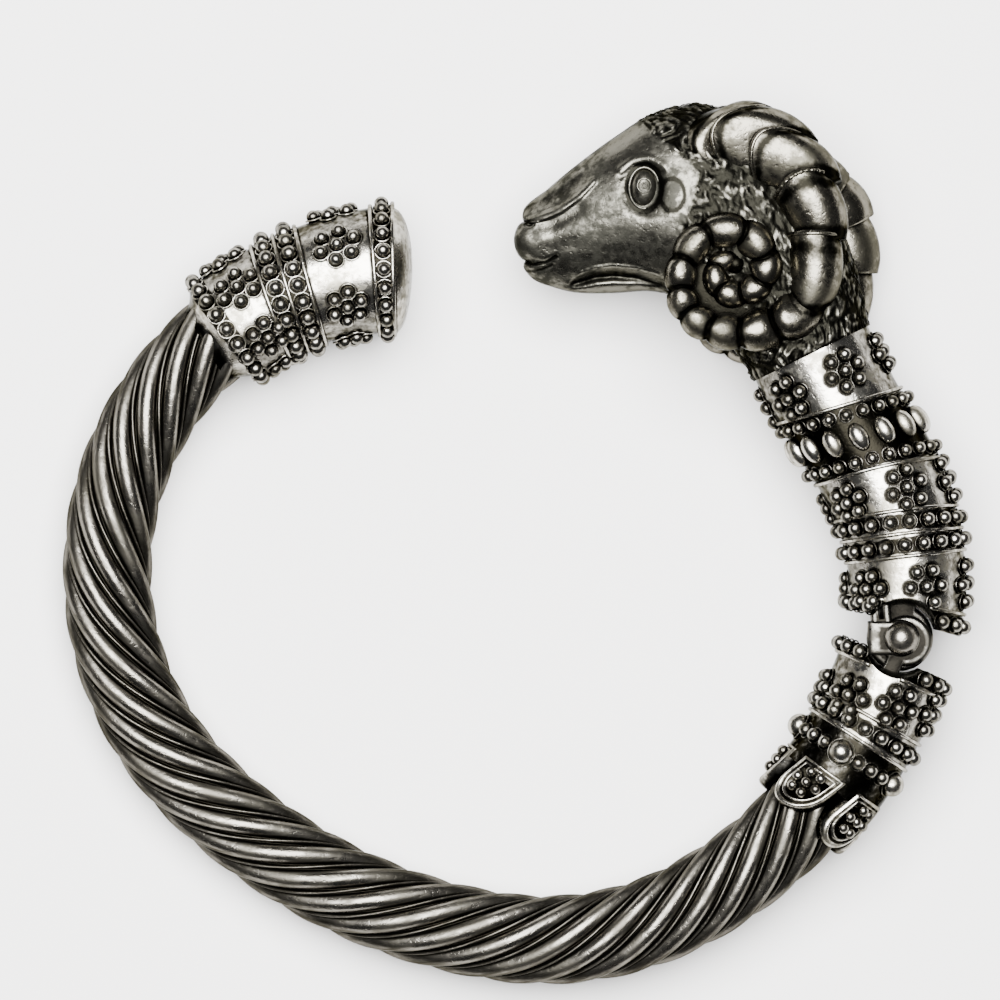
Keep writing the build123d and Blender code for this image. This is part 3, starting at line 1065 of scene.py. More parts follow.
@dataclass
class EndCap(Ferrule):
    """Domed cap at the open end of the bar."""

    collar_dark: float = 0.36
    face_radius: float = 5.5
    base_radius: float = 4.8
    length: float = 16.1
    waisting: float = 0.12
    dome: float = 1.55
    dome_rows: int = 18
    wall_rows: int = 110
    skirt_rows: int = 24
    columns: int = 128
    rim: float = 0.2
    foot: float = 0.3
    skirt: float = 1.7
    skirt_lean: float = 0.7
    bar_radius: float = 3.55
    bands: tuple[Band, ...] = (
        Band(0.87, 22, 0.62, 2.0),
        Band(8.35, 22, 0.68, 5.0, 4.0),
        Band(10.25, 22, 0.68, 7.0, 10.0),
        Band(15.45, 20, 0.66, 1.0),
    )
    fields: tuple[Field, ...] = (Field(4.5, 6, 30, 3.0, 44.0), Field(12.8, 6, 30, 0.0, 44.0))
    wires: tuple[Ring, ...] = (
        Ring(0.1, 2.0, 0.2),
        Ring(1.7, 2.0, 0.2),
        Ring(7.45, 4.0, 0.2),
        Ring(9.3, 6.0, 0.2),
        Ring(11.2, 8.0, 0.2),
    )

    def radius_at(self, place: np.ndarray | float) -> np.ndarray:
        """Gives a taper from the face to the base, with a slight waist."""
        share = np.clip(np.asarray(place, float) / self.length, 0, 1)
        taper = (self.base_radius - self.face_radius) * share**1.2
        return self.face_radius + taper - self.waisting * np.sin(math.pi * share)

    def skin(self, angle: np.ndarray) -> Found:
        """Gives the dome, the wall and the skirt.

        The dome is part of an ellipse. The skirt narrows to the bar with the 1.9th power of the way
        and reaches further on the inner side.

        Args:
            angle: Angles of the columns in degrees.

        Returns:
            Distances along the line and from it.
        """
        out = np.linspace(0.03, 1.0, self.dome_rows)[:, None]
        dome_r = (self.face_radius - self.rim) * out
        dome_s = -self.dome * np.sqrt(np.clip(1 - 0.985 * out**2, 0, 1))
        last = self.length - self.foot
        wall_s = np.linspace(0.0, last, self.wall_rows)[:, None]
        share = np.linspace(0.05, 1.0, self.skirt_rows)[:, None]
        skirt_s = last + share * (self.foot + self.skirt - self.skirt_lean * sine(angle))
        wide = self.base_radius + 0.1 - self.bar_radius
        skirt_r = self.bar_radius + wide * (1 - share) ** 1.9
        flat = np.ones_like(angle)
        place = np.concatenate([dome_s * flat, wall_s * flat, skirt_s])
        radius = np.concatenate([dome_r, self.radius_at(wall_s), skirt_r]) * flat
        return place, radius

    def create(self) -> None:
        """Makes the cap: granules and wires, then the skin turned around the line."""
        found = [self.band(row) for row in self.bands]
        found += [self.rosettes(row) for row in self.fields]
        for row in self.wires:
            self.wire(row)
        angle = around(self.columns)[None, :]
        place, radius = self.skin(angle)
        level = radius * sine(angle)
        points = self.line.points(place, radius, angle)
        tarnish_and_shade = self.wall_dark(points, found, angle, self.bands, place, level)
        on_wall = place > -0.05
        for row in self.wires:
            off = np.abs(place + level * slope(row.lean) - row.place)
            shade = 0.8 * np.exp(-np.clip(off - row.thick, 0, None) / 0.2)
            tarnish_and_shade = np.maximum(tarnish_and_shade, shade * on_wall)
        low = 14
        tarnish_and_shade[-low:] = np.maximum(tarnish_and_shade[-low:], np.linspace(0.5, 0.9, low)[:, None])
        out = radius[: self.dome_rows] / self.face_radius
        tarnish_and_shade[: self.dome_rows] = np.maximum(0.75 * np.exp(-np.abs(out - 0.93) / 0.03), 0.36)
        self.shell.grid(points, tarnish_and_shade)
        self.finish("cap", Body.HOOP, "end_cap")


@dataclass(frozen=True)
class FlapRow:
    """Ring of a flap: share of the way from its middle out, height over the bar, recess value."""

    share: float
    height: float
    dark: float


FLAP_ROWS = (
    FlapRow(0.06, 0.78, 0.95),
    FlapRow(0.62, 0.78, 0.95),
    FlapRow(0.66, 0.92, 0.5),
    FlapRow(0.70, 1.00, 0.32),
    FlapRow(0.74, 0.92, 0.55),
    FlapRow(0.77, 0.80, 0.90),
    FlapRow(0.80, 0.80, 0.90),
    FlapRow(0.84, 0.98, 0.30),
    FlapRow(0.89, 1.06, 0.25),
    FlapRow(0.94, 1.02, 0.25),
    FlapRow(0.98, 0.86, 0.45),
    FlapRow(1.00, 0.60, 0.60),
    FlapRow(1.00, -0.20, 0.95),
)
FLAP_GRANULES = (
    (-0.6, -0.52),
    (-0.6, 0.52),
    (0.4, -1.02),
    (0.4, 0.0),
    (0.4, 1.02),
    (1.4, -0.52),
    (1.4, 0.52),
)


@dataclass
class HingeCollar(Ferrule):
    """Collar at the hinge with shield flaps over the bar."""

    start: float = 121.8
    end: float = 134.2
    radius: float = 4.75
    lean: float = 4.5
    band_lean: float = 3.0
    columns: int = 144
    wall_rows: int = 90
    mouth_rows: int = 16
    inner_radius: float = 3.4
    flap_count: int = 5
    flap_turn: float = -19.0
    flap_skew: float = -12.0
    flap_shift: float = 0.5
    flap_length: float = 3.35
    flap_width: float = 4.6
    flap_root: float = 1.6
    flap_bow: float = 1.15
    flap_granule: float = 0.5
    cable_radius: float = 3.85
    big_place: float = 124.85
    big_turn: float = -9.0
    big_radius: float = 1.05
    small_radius: float = 0.6
    big_rise: float = 0.22
    ground_end: float = 126.5

    def radius_at(self, place: np.ndarray | float) -> np.ndarray:
        """Gives an even wall."""
        return self.radius + 0 * np.asarray(place, float)

    def mouth(self, level: np.ndarray, height: np.ndarray) -> np.ndarray:
        """Gives where the wall ends: the leaning mouth, or the round room about the pin."""
        leaning = self.end - level * slope(self.lean)
        return np.minimum(leaning, self.pin_place - self.scoop(level, height))

    def outline(self) -> np.ndarray:
        """Gives a flap's outline: two straight sides, a bow and the root, as along and across.

        Returns:
            One point in each row.
        """
        half, root = self.flap_width / 2, self.flap_root
        straight = self.flap_length - half * self.flap_bow
        bow = np.linspace(-90, 90, 25)
        curve = [straight + self.flap_bow * half * cosine(bow), half * sine(bow)]
        side = np.linspace(-root, straight, 9)
        parts = (
            [side[:-1], np.full(8, -half)],
            curve,
            [side[-2::-1], np.full(8, half)],
            [np.full(9, -root), np.linspace(half, -half, 11)[1:-1]],
        )
        return np.concatenate([np.stack(part, 1) for part in parts])

    def on_bar(
        self,
        along: np.ndarray,
        beside: np.ndarray,
        reach: np.ndarray | float,
        turn: float,
    ) -> Found:
        """Lays points of a flap around the bar, skewed with the strands.

        Args:
            along: Distances from the flap's root.
            beside: Distances across it.
            reach: Distances from the line.
            turn: The flap's angle in degrees.

        Returns:
            Distances along the line and angles around it.
        """
        skew = self.flap_skew * along / self.flap_length
        return self.start - self.flap_shift - along, turn + skew + np.degrees(beside / reach)

    def flap(self, turn: float) -> None:
        """Adds one shield with a double raised rim around a field of seven granules.

        Points lie on straight lines from the shield's middle to the outline, and the height over
        the bar depends on the share of that way.

        Args:
            turn: Its angle in degrees.
        """
        outline = self.outline()
        straight = self.flap_length - self.flap_width / 2 * self.flap_bow
        middle = np.array([straight * 0.35, 0.0])
        share, height, dark = np.array([[r.share, r.height, r.dark] for r in FLAP_ROWS]).T
        spots = middle + (outline - middle)[None] * share[:, None, None]
        reach = self.cable_radius + height[:, None]
        place, angle = self.on_bar(spots[..., 0], spots[..., 1], reach, turn)
        self.shell.grid(self.line.points(place, reach, angle), dark[:, None])
        along, beside = np.array(FLAP_GRANULES).T
        top = self.cable_radius + 1.02
        place, angle = self.on_bar(along, beside, top, turn)
        centres, normals = self.line.points(place, top, angle), self.line.away(place, angle)
        self.shell.balls(centres, normals, self.flap_granule, tone=self.granule_tone)

    def big_band(self) -> Found:
        """Adds one big granule over each flap and three small ones between each two.

        Returns:
            The granules' centres and radii.
        """
        place, reach = self.big_place, self.radius + self.big_rise
        turns = self.big_turn + around(self.flap_count)
        big, normals = self.line.points(place, reach, turns), self.line.away(place, turns)
        self.shell.balls(big, normals, self.big_radius, sides=20, rings=13, tone=0.36)
        self.shell.collars(big, normals, self.big_radius + 0.13, 0.15)
        between = 360 / self.flap_count * np.array([0.28, 0.5, 0.72])
        turns = (turns[:, None] + between).ravel()
        small, normals = self.line.points(place, reach, turns), self.line.away(place, turns)
        self.shell.balls(small, normals, self.small_radius, tone=self.granule_tone)
        self.shell.collars(small, normals, self.small_radius + 0.1, 0.18)
        radii = [np.full(len(big), self.big_radius), np.full(len(small), self.small_radius)]
        return np.concatenate([big, small]), np.concatenate(radii)

    def create(self) -> None:
        """Makes the collar: granules, flaps and wires, then the wall with its scooped mouth."""
        rows = (Band(127.65, 19, 0.62, self.band_lean), Band(133.55, 19, 0.62, self.lean))
        found = [self.band(row) for row in rows]
        found += [self.rosettes(Field(130.1, 7, -31, -10.0)), self.big_band()]
        for turn in self.flap_turn + around(self.flap_count):
            self.flap(turn)
        for row in (Ring(126.55, 3.0), Ring(128.75, 3.0), Ring(132.75, self.lean, 0.2)):
            self.wire(row)
        angle = around(self.columns)[None, :]
        level, height = self.radius * sine(angle), self.radius * cosine(angle)
        share = np.linspace(0, 1, self.wall_rows)[:, None]
        wall = self.start + share * (self.mouth(level, height) - self.start)
        edge = np.linspace(0.96, 0.04, self.mouth_rows)[:, None]
        flat = np.ones_like(angle)
        face = self.mouth(level * edge, height * edge)
        place = np.concatenate([self.start * flat, wall, face])
        inner, outer = self.inner_radius * flat, self.radius * np.ones_like(wall)
        radius = np.concatenate([inner, outer, self.radius * edge * flat])
        points = self.line.points(place, radius, angle)
        tarnish_and_shade = self.wall_dark(points, found, angle, rows, place, radius * sine(angle))
        leaning = place + level * slope(self.band_lean) - self.ground_end
        tarnish_and_shade = np.maximum(tarnish_and_shade, 0.7 * (1 - smooth(-0.2, 0.2, leaning)))
        # Painted shade: the mouth's face in the hinge room is nearly black.
        tarnish_and_shade[-self.mouth_rows :] = 0.97
        self.shell.grid(points, tarnish_and_shade)
        self.finish("collar", Body.HOOP, "hinge_collar")


@dataclass
class HeadSleeve(Ferrule):
    """Sleeve between the hinge and the head."""

    start: float = 137.45
    end: float = 162.35
    hinge_radius: float = 4.95
    head_radius: float = 5.35
    lean: float = 4.8
    columns: int = 144
    wall_rows: int = 170
    mouth_rows: int = 16
    oval_count: int = 15
    oval_place: float = 16.7
    oval_lean: float = 16.0
    oval_radius: float = 0.82
    oval_stretch: float = 1.62
    ground: tuple[float, float] = (13.8, 19.65)
    ground_lean: float = 15.0
    wires: tuple[Ring, ...] = (
        Ring(5.6, 0.0),
        Ring(7.57, 5.0),
        Ring(9.6, 10.0),
        Ring(13.65, 16.0),
        Ring(19.75, 13.0),
        Ring(1.55, 4.8),
    )
    bands: tuple[Band, ...] = (
        Band(0.7, 19, 0.62, 4.8),
        Band(6.55, 20, 0.62, 2.0),
        Band(8.6, 20, 0.62, 8.0, 9.0),
        Band(14.55, 23, 0.54, 16.0),
        Band(18.85, 23, 0.54, 14.0),
    )
    fields: tuple[Field, ...] = (
        Field(2.9, 6, -42, -4.0),
        Field(11.35, 6, -43, 8.5),
        Field(22.3, 6, -41, 1.0),
    )

    def radius_at(self, place: np.ndarray | float) -> np.ndarray:
        """Gives a straight taper towards the hinge."""
        share = (np.asarray(place, float) - self.start) / (self.end - self.start)
        return self.hinge_radius + (self.head_radius - self.hinge_radius) * share

    def mouth(self, level: np.ndarray, height: np.ndarray) -> np.ndarray:
        """Gives where the wall starts: the leaning mouth, or the round room about the pin."""
        leaning = self.start - level * slope(self.lean)
        return np.maximum(leaning, self.pin_place + self.scoop(level, height))

    def ovals(self) -> Found:
        """Adds the ring of oval granules, which lie along the line.

        Returns:
            The granules' centres and radii.
        """
        angle = around(self.oval_count)
        middle = self.start + self.oval_place
        reach = float(self.radius_at(middle)) + 0.1
        place = middle - reach * sine(angle) * slope(self.oval_lean)
        centres, normals = self.line.points(place, reach, angle), self.line.away(place, angle)
        along, size = self.line.spots(place)[2], self.oval_radius
        self.shell.balls(centres, normals, size, along, self.oval_stretch, 20, 13, 0.3)
        return centres, np.full(self.oval_count, size + 0.03)

    def create(self) -> None:
        """Makes the sleeve: granules, wires and ovals, then the wall with its scooped mouth."""
        s = self.start
        rows = tuple(replace(row, place=s + row.place) for row in self.bands)
        found = [self.band(row) for row in rows]
        found += [self.rosettes(replace(row, place=s + row.place)) for row in self.fields]
        for row in self.wires:
            self.wire(replace(row, place=s + row.place))
        found.append(self.ovals())
        angle = around(self.columns)[None, :]
        level, height = self.hinge_radius * sine(angle), self.hinge_radius * cosine(angle)
        edge = np.linspace(0.04, 0.96, self.mouth_rows)[:, None]
        share = np.linspace(0, 1, self.wall_rows)[:, None]
        mouth = self.mouth(level, height)
        wall = mouth + share * (self.end + 0.3 - mouth)
        place = np.concatenate([self.mouth(level * edge, height * edge), wall])
        face = self.hinge_radius * edge * np.ones_like(angle)
        radius = np.concatenate([face, self.radius_at(wall)])
        points = self.line.points(place, radius, angle)
        level = radius * sine(angle)
        tarnish_and_shade = self.wall_dark(points, found, angle, rows, place, level)
        leaning = place + level * slope(self.ground_lean) - s
        first, last = self.ground
        ground = smooth(first - 0.1, first + 0.1, leaning)
        ground = ground * (1 - smooth(last - 0.15, last + 0.15, leaning))
        tarnish_and_shade = np.maximum(tarnish_and_shade, 0.9 * ground)
        # Painted shade: the mouth's face in the hinge room is nearly black.
        tarnish_and_shade[: self.mouth_rows] = 0.97
        self.shell.grid(points, tarnish_and_shade)
        self.finish("sleeve", Body.ARM, "head_sleeve")


@dataclass(frozen=True)
class Station:
    """Section of the skull: top and bottom as forward and up, half width, fullness of the jaw."""

    top: tuple[float, float]
    bottom: tuple[float, float]
    width: float
    jaw: float


@dataclass(frozen=True)
class HornJoint:
    """Joint between two of the horn's segments: middle, thickness, lag of the near side, pinch."""

    forward: float
    up: float
    side: float
    thick: float
    lag: float
    pinch: float


@dataclass(frozen=True)
class Crease:
    """Groove on the skull, or ridge where its depth is under 0.

    The path is given as forward and up, then the width, the depth and the recess value.
    """

    path: tuple[tuple[float, float], ...]
    wide: float
    deep: float
    dark: float


@dataclass(frozen=True)
class Swell:
    """Swelling of the muzzle's front, half an ellipse.

    It has a height, a half width, a reach forward and a reach sideways.
    """

    up: float
    wide: float
    reach: float
    aside: float


STATIONS = (
    Station((-4.95, 2.4), (4.95, -2.4), 5.5, 1.0),
    Station((-2.7, 10.1), (6.45, 0.2), 5.9, 1.0),
    Station((2.5, 18.9), (8.9, 2.4), 6.1, 1.0),
    Station((9.0, 21.3), (11.2, 4.6), 5.8, 0.95),
    Station((13.6, 20.5), (13.8, 5.3), 5.3, 0.85),
    Station((17.0, 18.5), (16.9, 5.15), 4.7, 0.8),
    Station((20.5, 15.9), (20.3, 5.2), 4.0, 0.8),
    Station((23.1, 13.7), (22.9, 5.95), 3.2, 0.85),
    Station((24.15, 12.7), (23.9, 6.9), 2.6, 0.9),
    Station((24.5, 12.1), (24.35, 7.6), 2.1, 0.95),
    Station((24.65, 11.2), (24.6, 8.6), 1.3, 1.0),
    Station((24.7, 10.0), (24.7, 9.6), 0.2, 1.0),
)
JOINTS = (
    HornJoint(7.30, 18.00, 3.4, 3.30, 0.80, 0.10),
    HornJoint(4.90, 17.95, 3.9, 3.60, 0.85, 0.10),
    HornJoint(1.95, 16.20, 4.7, 3.40, 0.85, 0.12),
    HornJoint(0.42, 13.90, 5.4, 2.95, 0.40, 0.12),
    HornJoint(-0.40, 9.95, 5.8, 2.50, 0.05, 0.15),
    HornJoint(0.40, 4.60, 5.9, 1.90, -0.60, 0.36),
    HornJoint(3.07, 2.45, 6.1, 1.65, -0.30, 0.46),
    HornJoint(6.15, 1.75, 6.2, 1.36, -0.30, 0.44),
    HornJoint(8.70, 2.15, 6.2, 1.24, -0.30, 0.44),
    HornJoint(10.55, 3.40, 6.2, 1.16, -0.30, 0.44),
    HornJoint(11.30, 5.35, 6.2, 1.12, -0.30, 0.44),
    HornJoint(11.05, 7.80, 6.2, 1.16, -0.30, 0.44),
    HornJoint(9.20, 10.10, 6.1, 1.20, -0.30, 0.44),
    HornJoint(6.15, 10.35, 6.0, 1.28, -0.30, 0.44),
    HornJoint(4.20, 8.45, 6.0, 1.26, -0.30, 0.44),
    HornJoint(4.30, 6.25, 6.0, 1.12, -0.30, 0.44),
    HornJoint(5.95, 5.10, 5.9, 1.00, -0.30, 0.44),
    HornJoint(7.80, 5.35, 5.9, 1.00, -0.30, 0.44),
    HornJoint(8.35, 7.30, 5.8, 0.85, -0.30, 0.44),
    HornJoint(6.90, 8.20, 5.7, 0.70, -0.30, 0.44),
)
MOUTH = (
    Crease(((26.2, 7.9), (24.6, 7.9), (23.7, 7.6), (22.8, 7.75), (21.9, 8.3)), 0.16, 0.24, 0.9),
    Crease(((23.9, 7.0), (23.0, 7.15), (22.2, 7.6)), 0.16, 0.14, 0.6),
)
NOSE = (
    Crease(((25.6, 11.3), (24.5, 11.3), (23.7, 11.0)), 0.2, 0.3, 0.9),
    Crease(((24.6, 12.4), (23.0, 12.9), (21.3, 13.8), (19.7, 15.0)), 0.6, 0.26, 0.5),
    Crease(
        ((24.1, 11.25), (22.9, 11.65), (21.6, 12.25), (20.0, 13.4), (18.8, 14.7)), 0.34, -0.28, 0.0
    ),
    Crease(((23.0, 10.7), (21.6, 11.3), (20.0, 12.2)), 0.6, 0.2, 0.3),
    Crease(((22.6, 8.9), (20.5, 9.3)), 0.7, 0.12, 0.2),
)
JAW = (
    Crease(((20.3, 5.95), (18.6, 6.5), (17.0, 6.65), (15.0, 6.45), (13.0, 5.9)), 0.5, 1.0, 0.66),
    Crease(
        ((20.9, 6.0), (19.8, 6.85), (18.5, 7.3), (17.0, 7.45), (15.0, 7.25), (13.2, 6.7)),
        0.16,
        -0.16,
        0.0,
    ),
)
BROW = (
    Crease(((16.3, 15.7), (15.3, 16.4), (14.0, 16.5), (12.8, 15.9)), 0.45, -0.12, 0.0),
    Crease(((16.4, 15.0), (15.4, 15.95), (14.1, 16.1), (12.8, 15.4)), 0.25, 0.15, 0.5),
    Crease(((16.2, 13.3), (15.5, 12.3), (14.3, 11.8), (12.7, 12.0)), 0.3, 0.12, 0.4),
)
SWELLS = (
    Swell(12.60, 1.32, 0.30, 0.12),
    Swell(9.60, 1.68, 0.85, 0.42),
    Swell(6.45, 1.47, 0.60, 0.15),
)


@dataclass
class HeadPiece(Piece):
    """Piece drawn in the head's own directions: forward to the muzzle, up and sideways."""

    base: float = 162.35
    bend: float = 64.0

    def place(
        self,
        forward: np.ndarray | float,
        up: np.ndarray | float,
        side: np.ndarray | float,
    ) -> np.ndarray:
        """Turns distances in the head into positions.

        Args:
            forward: Distances towards the muzzle from the sleeve's end.
            up: Distances towards the crown.
            side: Distances from the middle plane, over 0 on the near side.

        Returns:
            Positions, in the common shape with a last axis of three.
        """
        position, _, along = self.line.spots(self.base)
        c, s = cosine(self.bend), sine(self.bend)
        ahead = np.array([along[0] * c - along[1] * s, along[0] * s + along[1] * c, 0.0])
        above = np.array([ahead[1], -ahead[0], 0.0])
        forward, up, side = np.broadcast_arrays(forward, up, side)
        flat = position + forward[..., None] * ahead + up[..., None] * above
        return flat + side[..., None] * UP


@dataclass
class RamHead(HeadPiece):
    """Ram's head without its horns: skull with eyes, mouth and wool."""

    rows: int = 250
    columns: int = 240
    eye: tuple[float, float] = (14.4, 14.1)
    lobe: tuple[float, float] = (12.0, 13.5)
    cheek: tuple[float, float] = (13.0, 9.8)
    hairline: tuple[float, float] = (9.7, 15.4)
    curl_step: float = 1.5
    seed: int = 7

    def create(self) -> None:
        """Makes the skull with its eyes."""
        self.skull()
        for side in (1, -1):
            self.eyeball(side)
        self.finish("head", Body.ARM, "ram_head")

    def skull(self) -> None:
        """Makes the skull.

        A point at a turn a around a section lies at the cosine of a between the top and bottom
        points and at the sine of a times the width, drawn in towards the jaw. Creases, swellings
        and wool then move it sideways, and wool on the crown moves it away from the middle.
        """
        table = np.array([[*row.top, *row.bottom, row.width, row.jaw] for row in STATIONS])
        rows = through(table, np.linspace(0, 1, self.rows) * (len(STATIONS) - 1))
        turn = np.radians(around(self.columns))[None, :]
        top, bottom, width, jaw = rows[:, None, 0:2], rows[:, None, 2:4], rows[:, 4:5], rows[:, 5:6]
        level, beside = np.cos(turn), np.sin(turn)
        lift = np.sign(level) * np.abs(level) ** 0.92
        middle, half = (top + bottom) / 2, (top - bottom) / 2
        spot = middle + half * lift[..., None]
        forward, up = spot[..., 0], spot[..., 1]
        narrow = 1 - (1 - jaw) * (1 - smooth(-1.0, 0.1, lift))
        side = np.sign(beside) * np.abs(beside) ** 0.9 * width * narrow
        rim = smooth(0.15, 0.7, np.abs(beside) + 0 * width)
        push, tarnish_and_shade = self.relief(forward, up)
        first, height = self.hairline
        edge = first + 1.15 * np.clip(up - height, 0, None) + 0.3 * np.clip(height - up, 0, None)
        curls = 1 - smooth(-0.5, 0.5, forward - edge)
        wool = self.wool(forward, up, side)
        push += curls * (0.6 * wool - 0.2)
        tarnish_and_shade = np.maximum(tarnish_and_shade, curls * np.clip(1.35 - 1.35 * wool, 0.3, 1))
        front = smooth(22.0, 24.2, forward)
        for swell in SWELLS:
            rise = np.sqrt(np.clip(1 - ((up - swell.up) / swell.wide) ** 2, 0, 1)) * front
            forward = forward + swell.reach * rise
            push += swell.aside * rise
        side = side + (np.sign(side) + (side == 0)) * push * rim
        crown = curls * (0.45 * wool - 0.2) * (1 - rim) * np.sign(level)
        axis = half / np.linalg.norm(half, axis=-1, keepdims=True)
        forward, up = forward + axis[..., 0] * crown, up + axis[..., 1] * crown
        # Painted shade: the head darkens along its top and bottom edges, where its sides turn away
        # from view.
        tarnish_and_shade = np.maximum(tarnish_and_shade, 0.5 * (1 - smooth(0.12, 0.4, np.abs(beside))))
        self.shell.grid(self.place(forward, up, side), tarnish_and_shade)

    def relief(self, forward: np.ndarray, up: np.ndarray) -> Found:
        """Gives the creases, the cheek and the sockets of the eye and the lobe.

        A groove is a bell curve over the distance from its path, a ridge has a flat back.

        Args:
            forward: Distances towards the muzzle.
            up: Distances towards the crown.

        Returns:
            Push outwards and recess value.
        """
        push, tarnish_and_shade = np.zeros_like(forward), np.zeros_like(forward)
        for crease in (*MOUTH, *NOSE, *JAW, *BROW):
            off = self.way(forward, up, crease.path)
            if crease.deep > 0:
                push = push - crease.deep * bell(off, crease.wide)
                tarnish_and_shade = np.maximum(tarnish_and_shade, crease.dark * bell(off, crease.wide * 1.2))
            else:
                ridge = 1 - smooth(0.45 * crease.wide, 1.3 * crease.wide, off)
                push = push - crease.deep * ridge
        x, y = self.cheek
        push += 0.40 * bell(np.hypot(forward - x, (up - y) * 0.8), 2.6)
        x, y = self.eye
        socket = np.hypot((forward - x) / 1.4, (up - y) / 1.9)
        push -= 0.5 * bell(socket - 0.7, 0.5)
        tarnish_and_shade = np.maximum(tarnish_and_shade, 0.95 * bell(socket - 1.05, 0.2))
        x, y = self.lobe
        lobe = np.hypot((forward - x) / 0.9, (up - y) / 1.2)
        return push, np.maximum(tarnish_and_shade, 0.9 * bell(lobe - 1.15, 0.25))

    def way(
        self, forward: np.ndarray, up: np.ndarray, path: tuple[tuple[float, float], ...]
    ) -> np.ndarray:
        """Gives the distance to a path of straight lines in the plane of forward and up.

        Args:
            forward: Distances towards the muzzle.
            up: Distances towards the crown.
            path: Points as forward and up.

        Returns:
            Distances.
        """
        best = np.full(forward.shape, np.inf)
        for (f0, u0), (f1, u1) in zip(path[:-1], path[1:]):
            x, y = f1 - f0, u1 - u0
            t = np.clip(((forward - f0) * x + (up - u0) * y) / (x * x + y * y), 0, 1)
            best = np.minimum(best, np.hypot(forward - f0 - t * x, up - u0 - t * y))
        return best

    def wool(self, forward: np.ndarray, up: np.ndarray, side: np.ndarray) -> np.ndarray:
        """Gives the height of curly wool.

        Around scattered middles it falls with the squared distance, and rings in it make curls.
        Wavy strands run between them.

        Args:
            forward: Distances towards the muzzle.
            up: Distances towards the crown.
            side: Distances from the middle plane.

        Returns:
            Heights from 0 to 1.
        """
        step, reach = self.curl_step, 1.6
        rng = np.random.default_rng(self.seed)
        axes = (np.arange(-6, 18, step), np.arange(-3, 24, step), np.arange(-7, 7.5, step))
        grid = np.stack(np.meshgrid(*axes, indexing="ij"), -1).reshape(-1, 3)
        seeds = grid + rng.uniform(-0.55, 0.55, grid.shape)
        flat = np.stack([forward, up, side], -1).reshape(-1, 3)
        height = np.zeros(len(flat))
        for chunk in np.array_split(np.arange(len(flat)), 90):
            low, high = flat[chunk].min(0) - reach, flat[chunk].max(0) + reach
            near = seeds[((seeds > low) & (seeds < high)).all(1)]
            if len(near):
                d = np.sqrt(((flat[chunk][:, None] - near[None]) ** 2).sum(-1)).min(1)
                curl = 0.5 + 0.5 * np.cos(2 * math.pi * d / 0.55)
                height[chunk] = np.clip(1 - (d / 1.3) ** 2, 0, 1) * (0.5 + 0.5 * curl)
        sway = 0.4 * np.sin(2.1 * forward + 1.9 * np.sin(1.7 * up) + 1.3 * side)
        strand = 0.5 + 0.5 * np.sin(2 * math.pi * (up * 0.6 + side * 0.5 + sway) / 0.5)
        return 0.62 * height.reshape(forward.shape) + 0.38 * strand

    def eyeball(self, side: int) -> None:
        """Adds an eye: ball, lid, ring and pupil, and the lobe behind it.

        Args:
            side: 1 for the near eye, -1 for the far one.
        """
        away = np.array([[0.0, 0.0, float(side)]])
        rise = self.place(0.0, 1.0, 0.0) - self.place(0.0, 0.0, 0.0)
        x, y = self.eye
        ball, lobe = self.place(x, y, side * 4.2), self.place(*self.lobe, side * 4.45)
        self.shell.balls(ball, away, 1.25, rise, 1.42, sides=36, rings=19, tone=0.1)
        self.shell.balls(lobe, away, 0.85, rise, 1.35, sides=28, rings=15, tone=0.1)
        turn = around(48)
        rings = (
            (1.27, 1.76, 0.0, 0.11, 4.8),
            (0.58, 0.6, 0.2, 0.08, 5.36),
            (0.22, 0.22, 0.2, 0.08, 5.44),
        )
        for wide, tall, lift, thick, out in rings:
            path = self.place(x + wide * cosine(turn), y + lift + tall * sine(turn), side * out)
            self.shell.cord(path, thick, tarnish_and_shade=0.05)


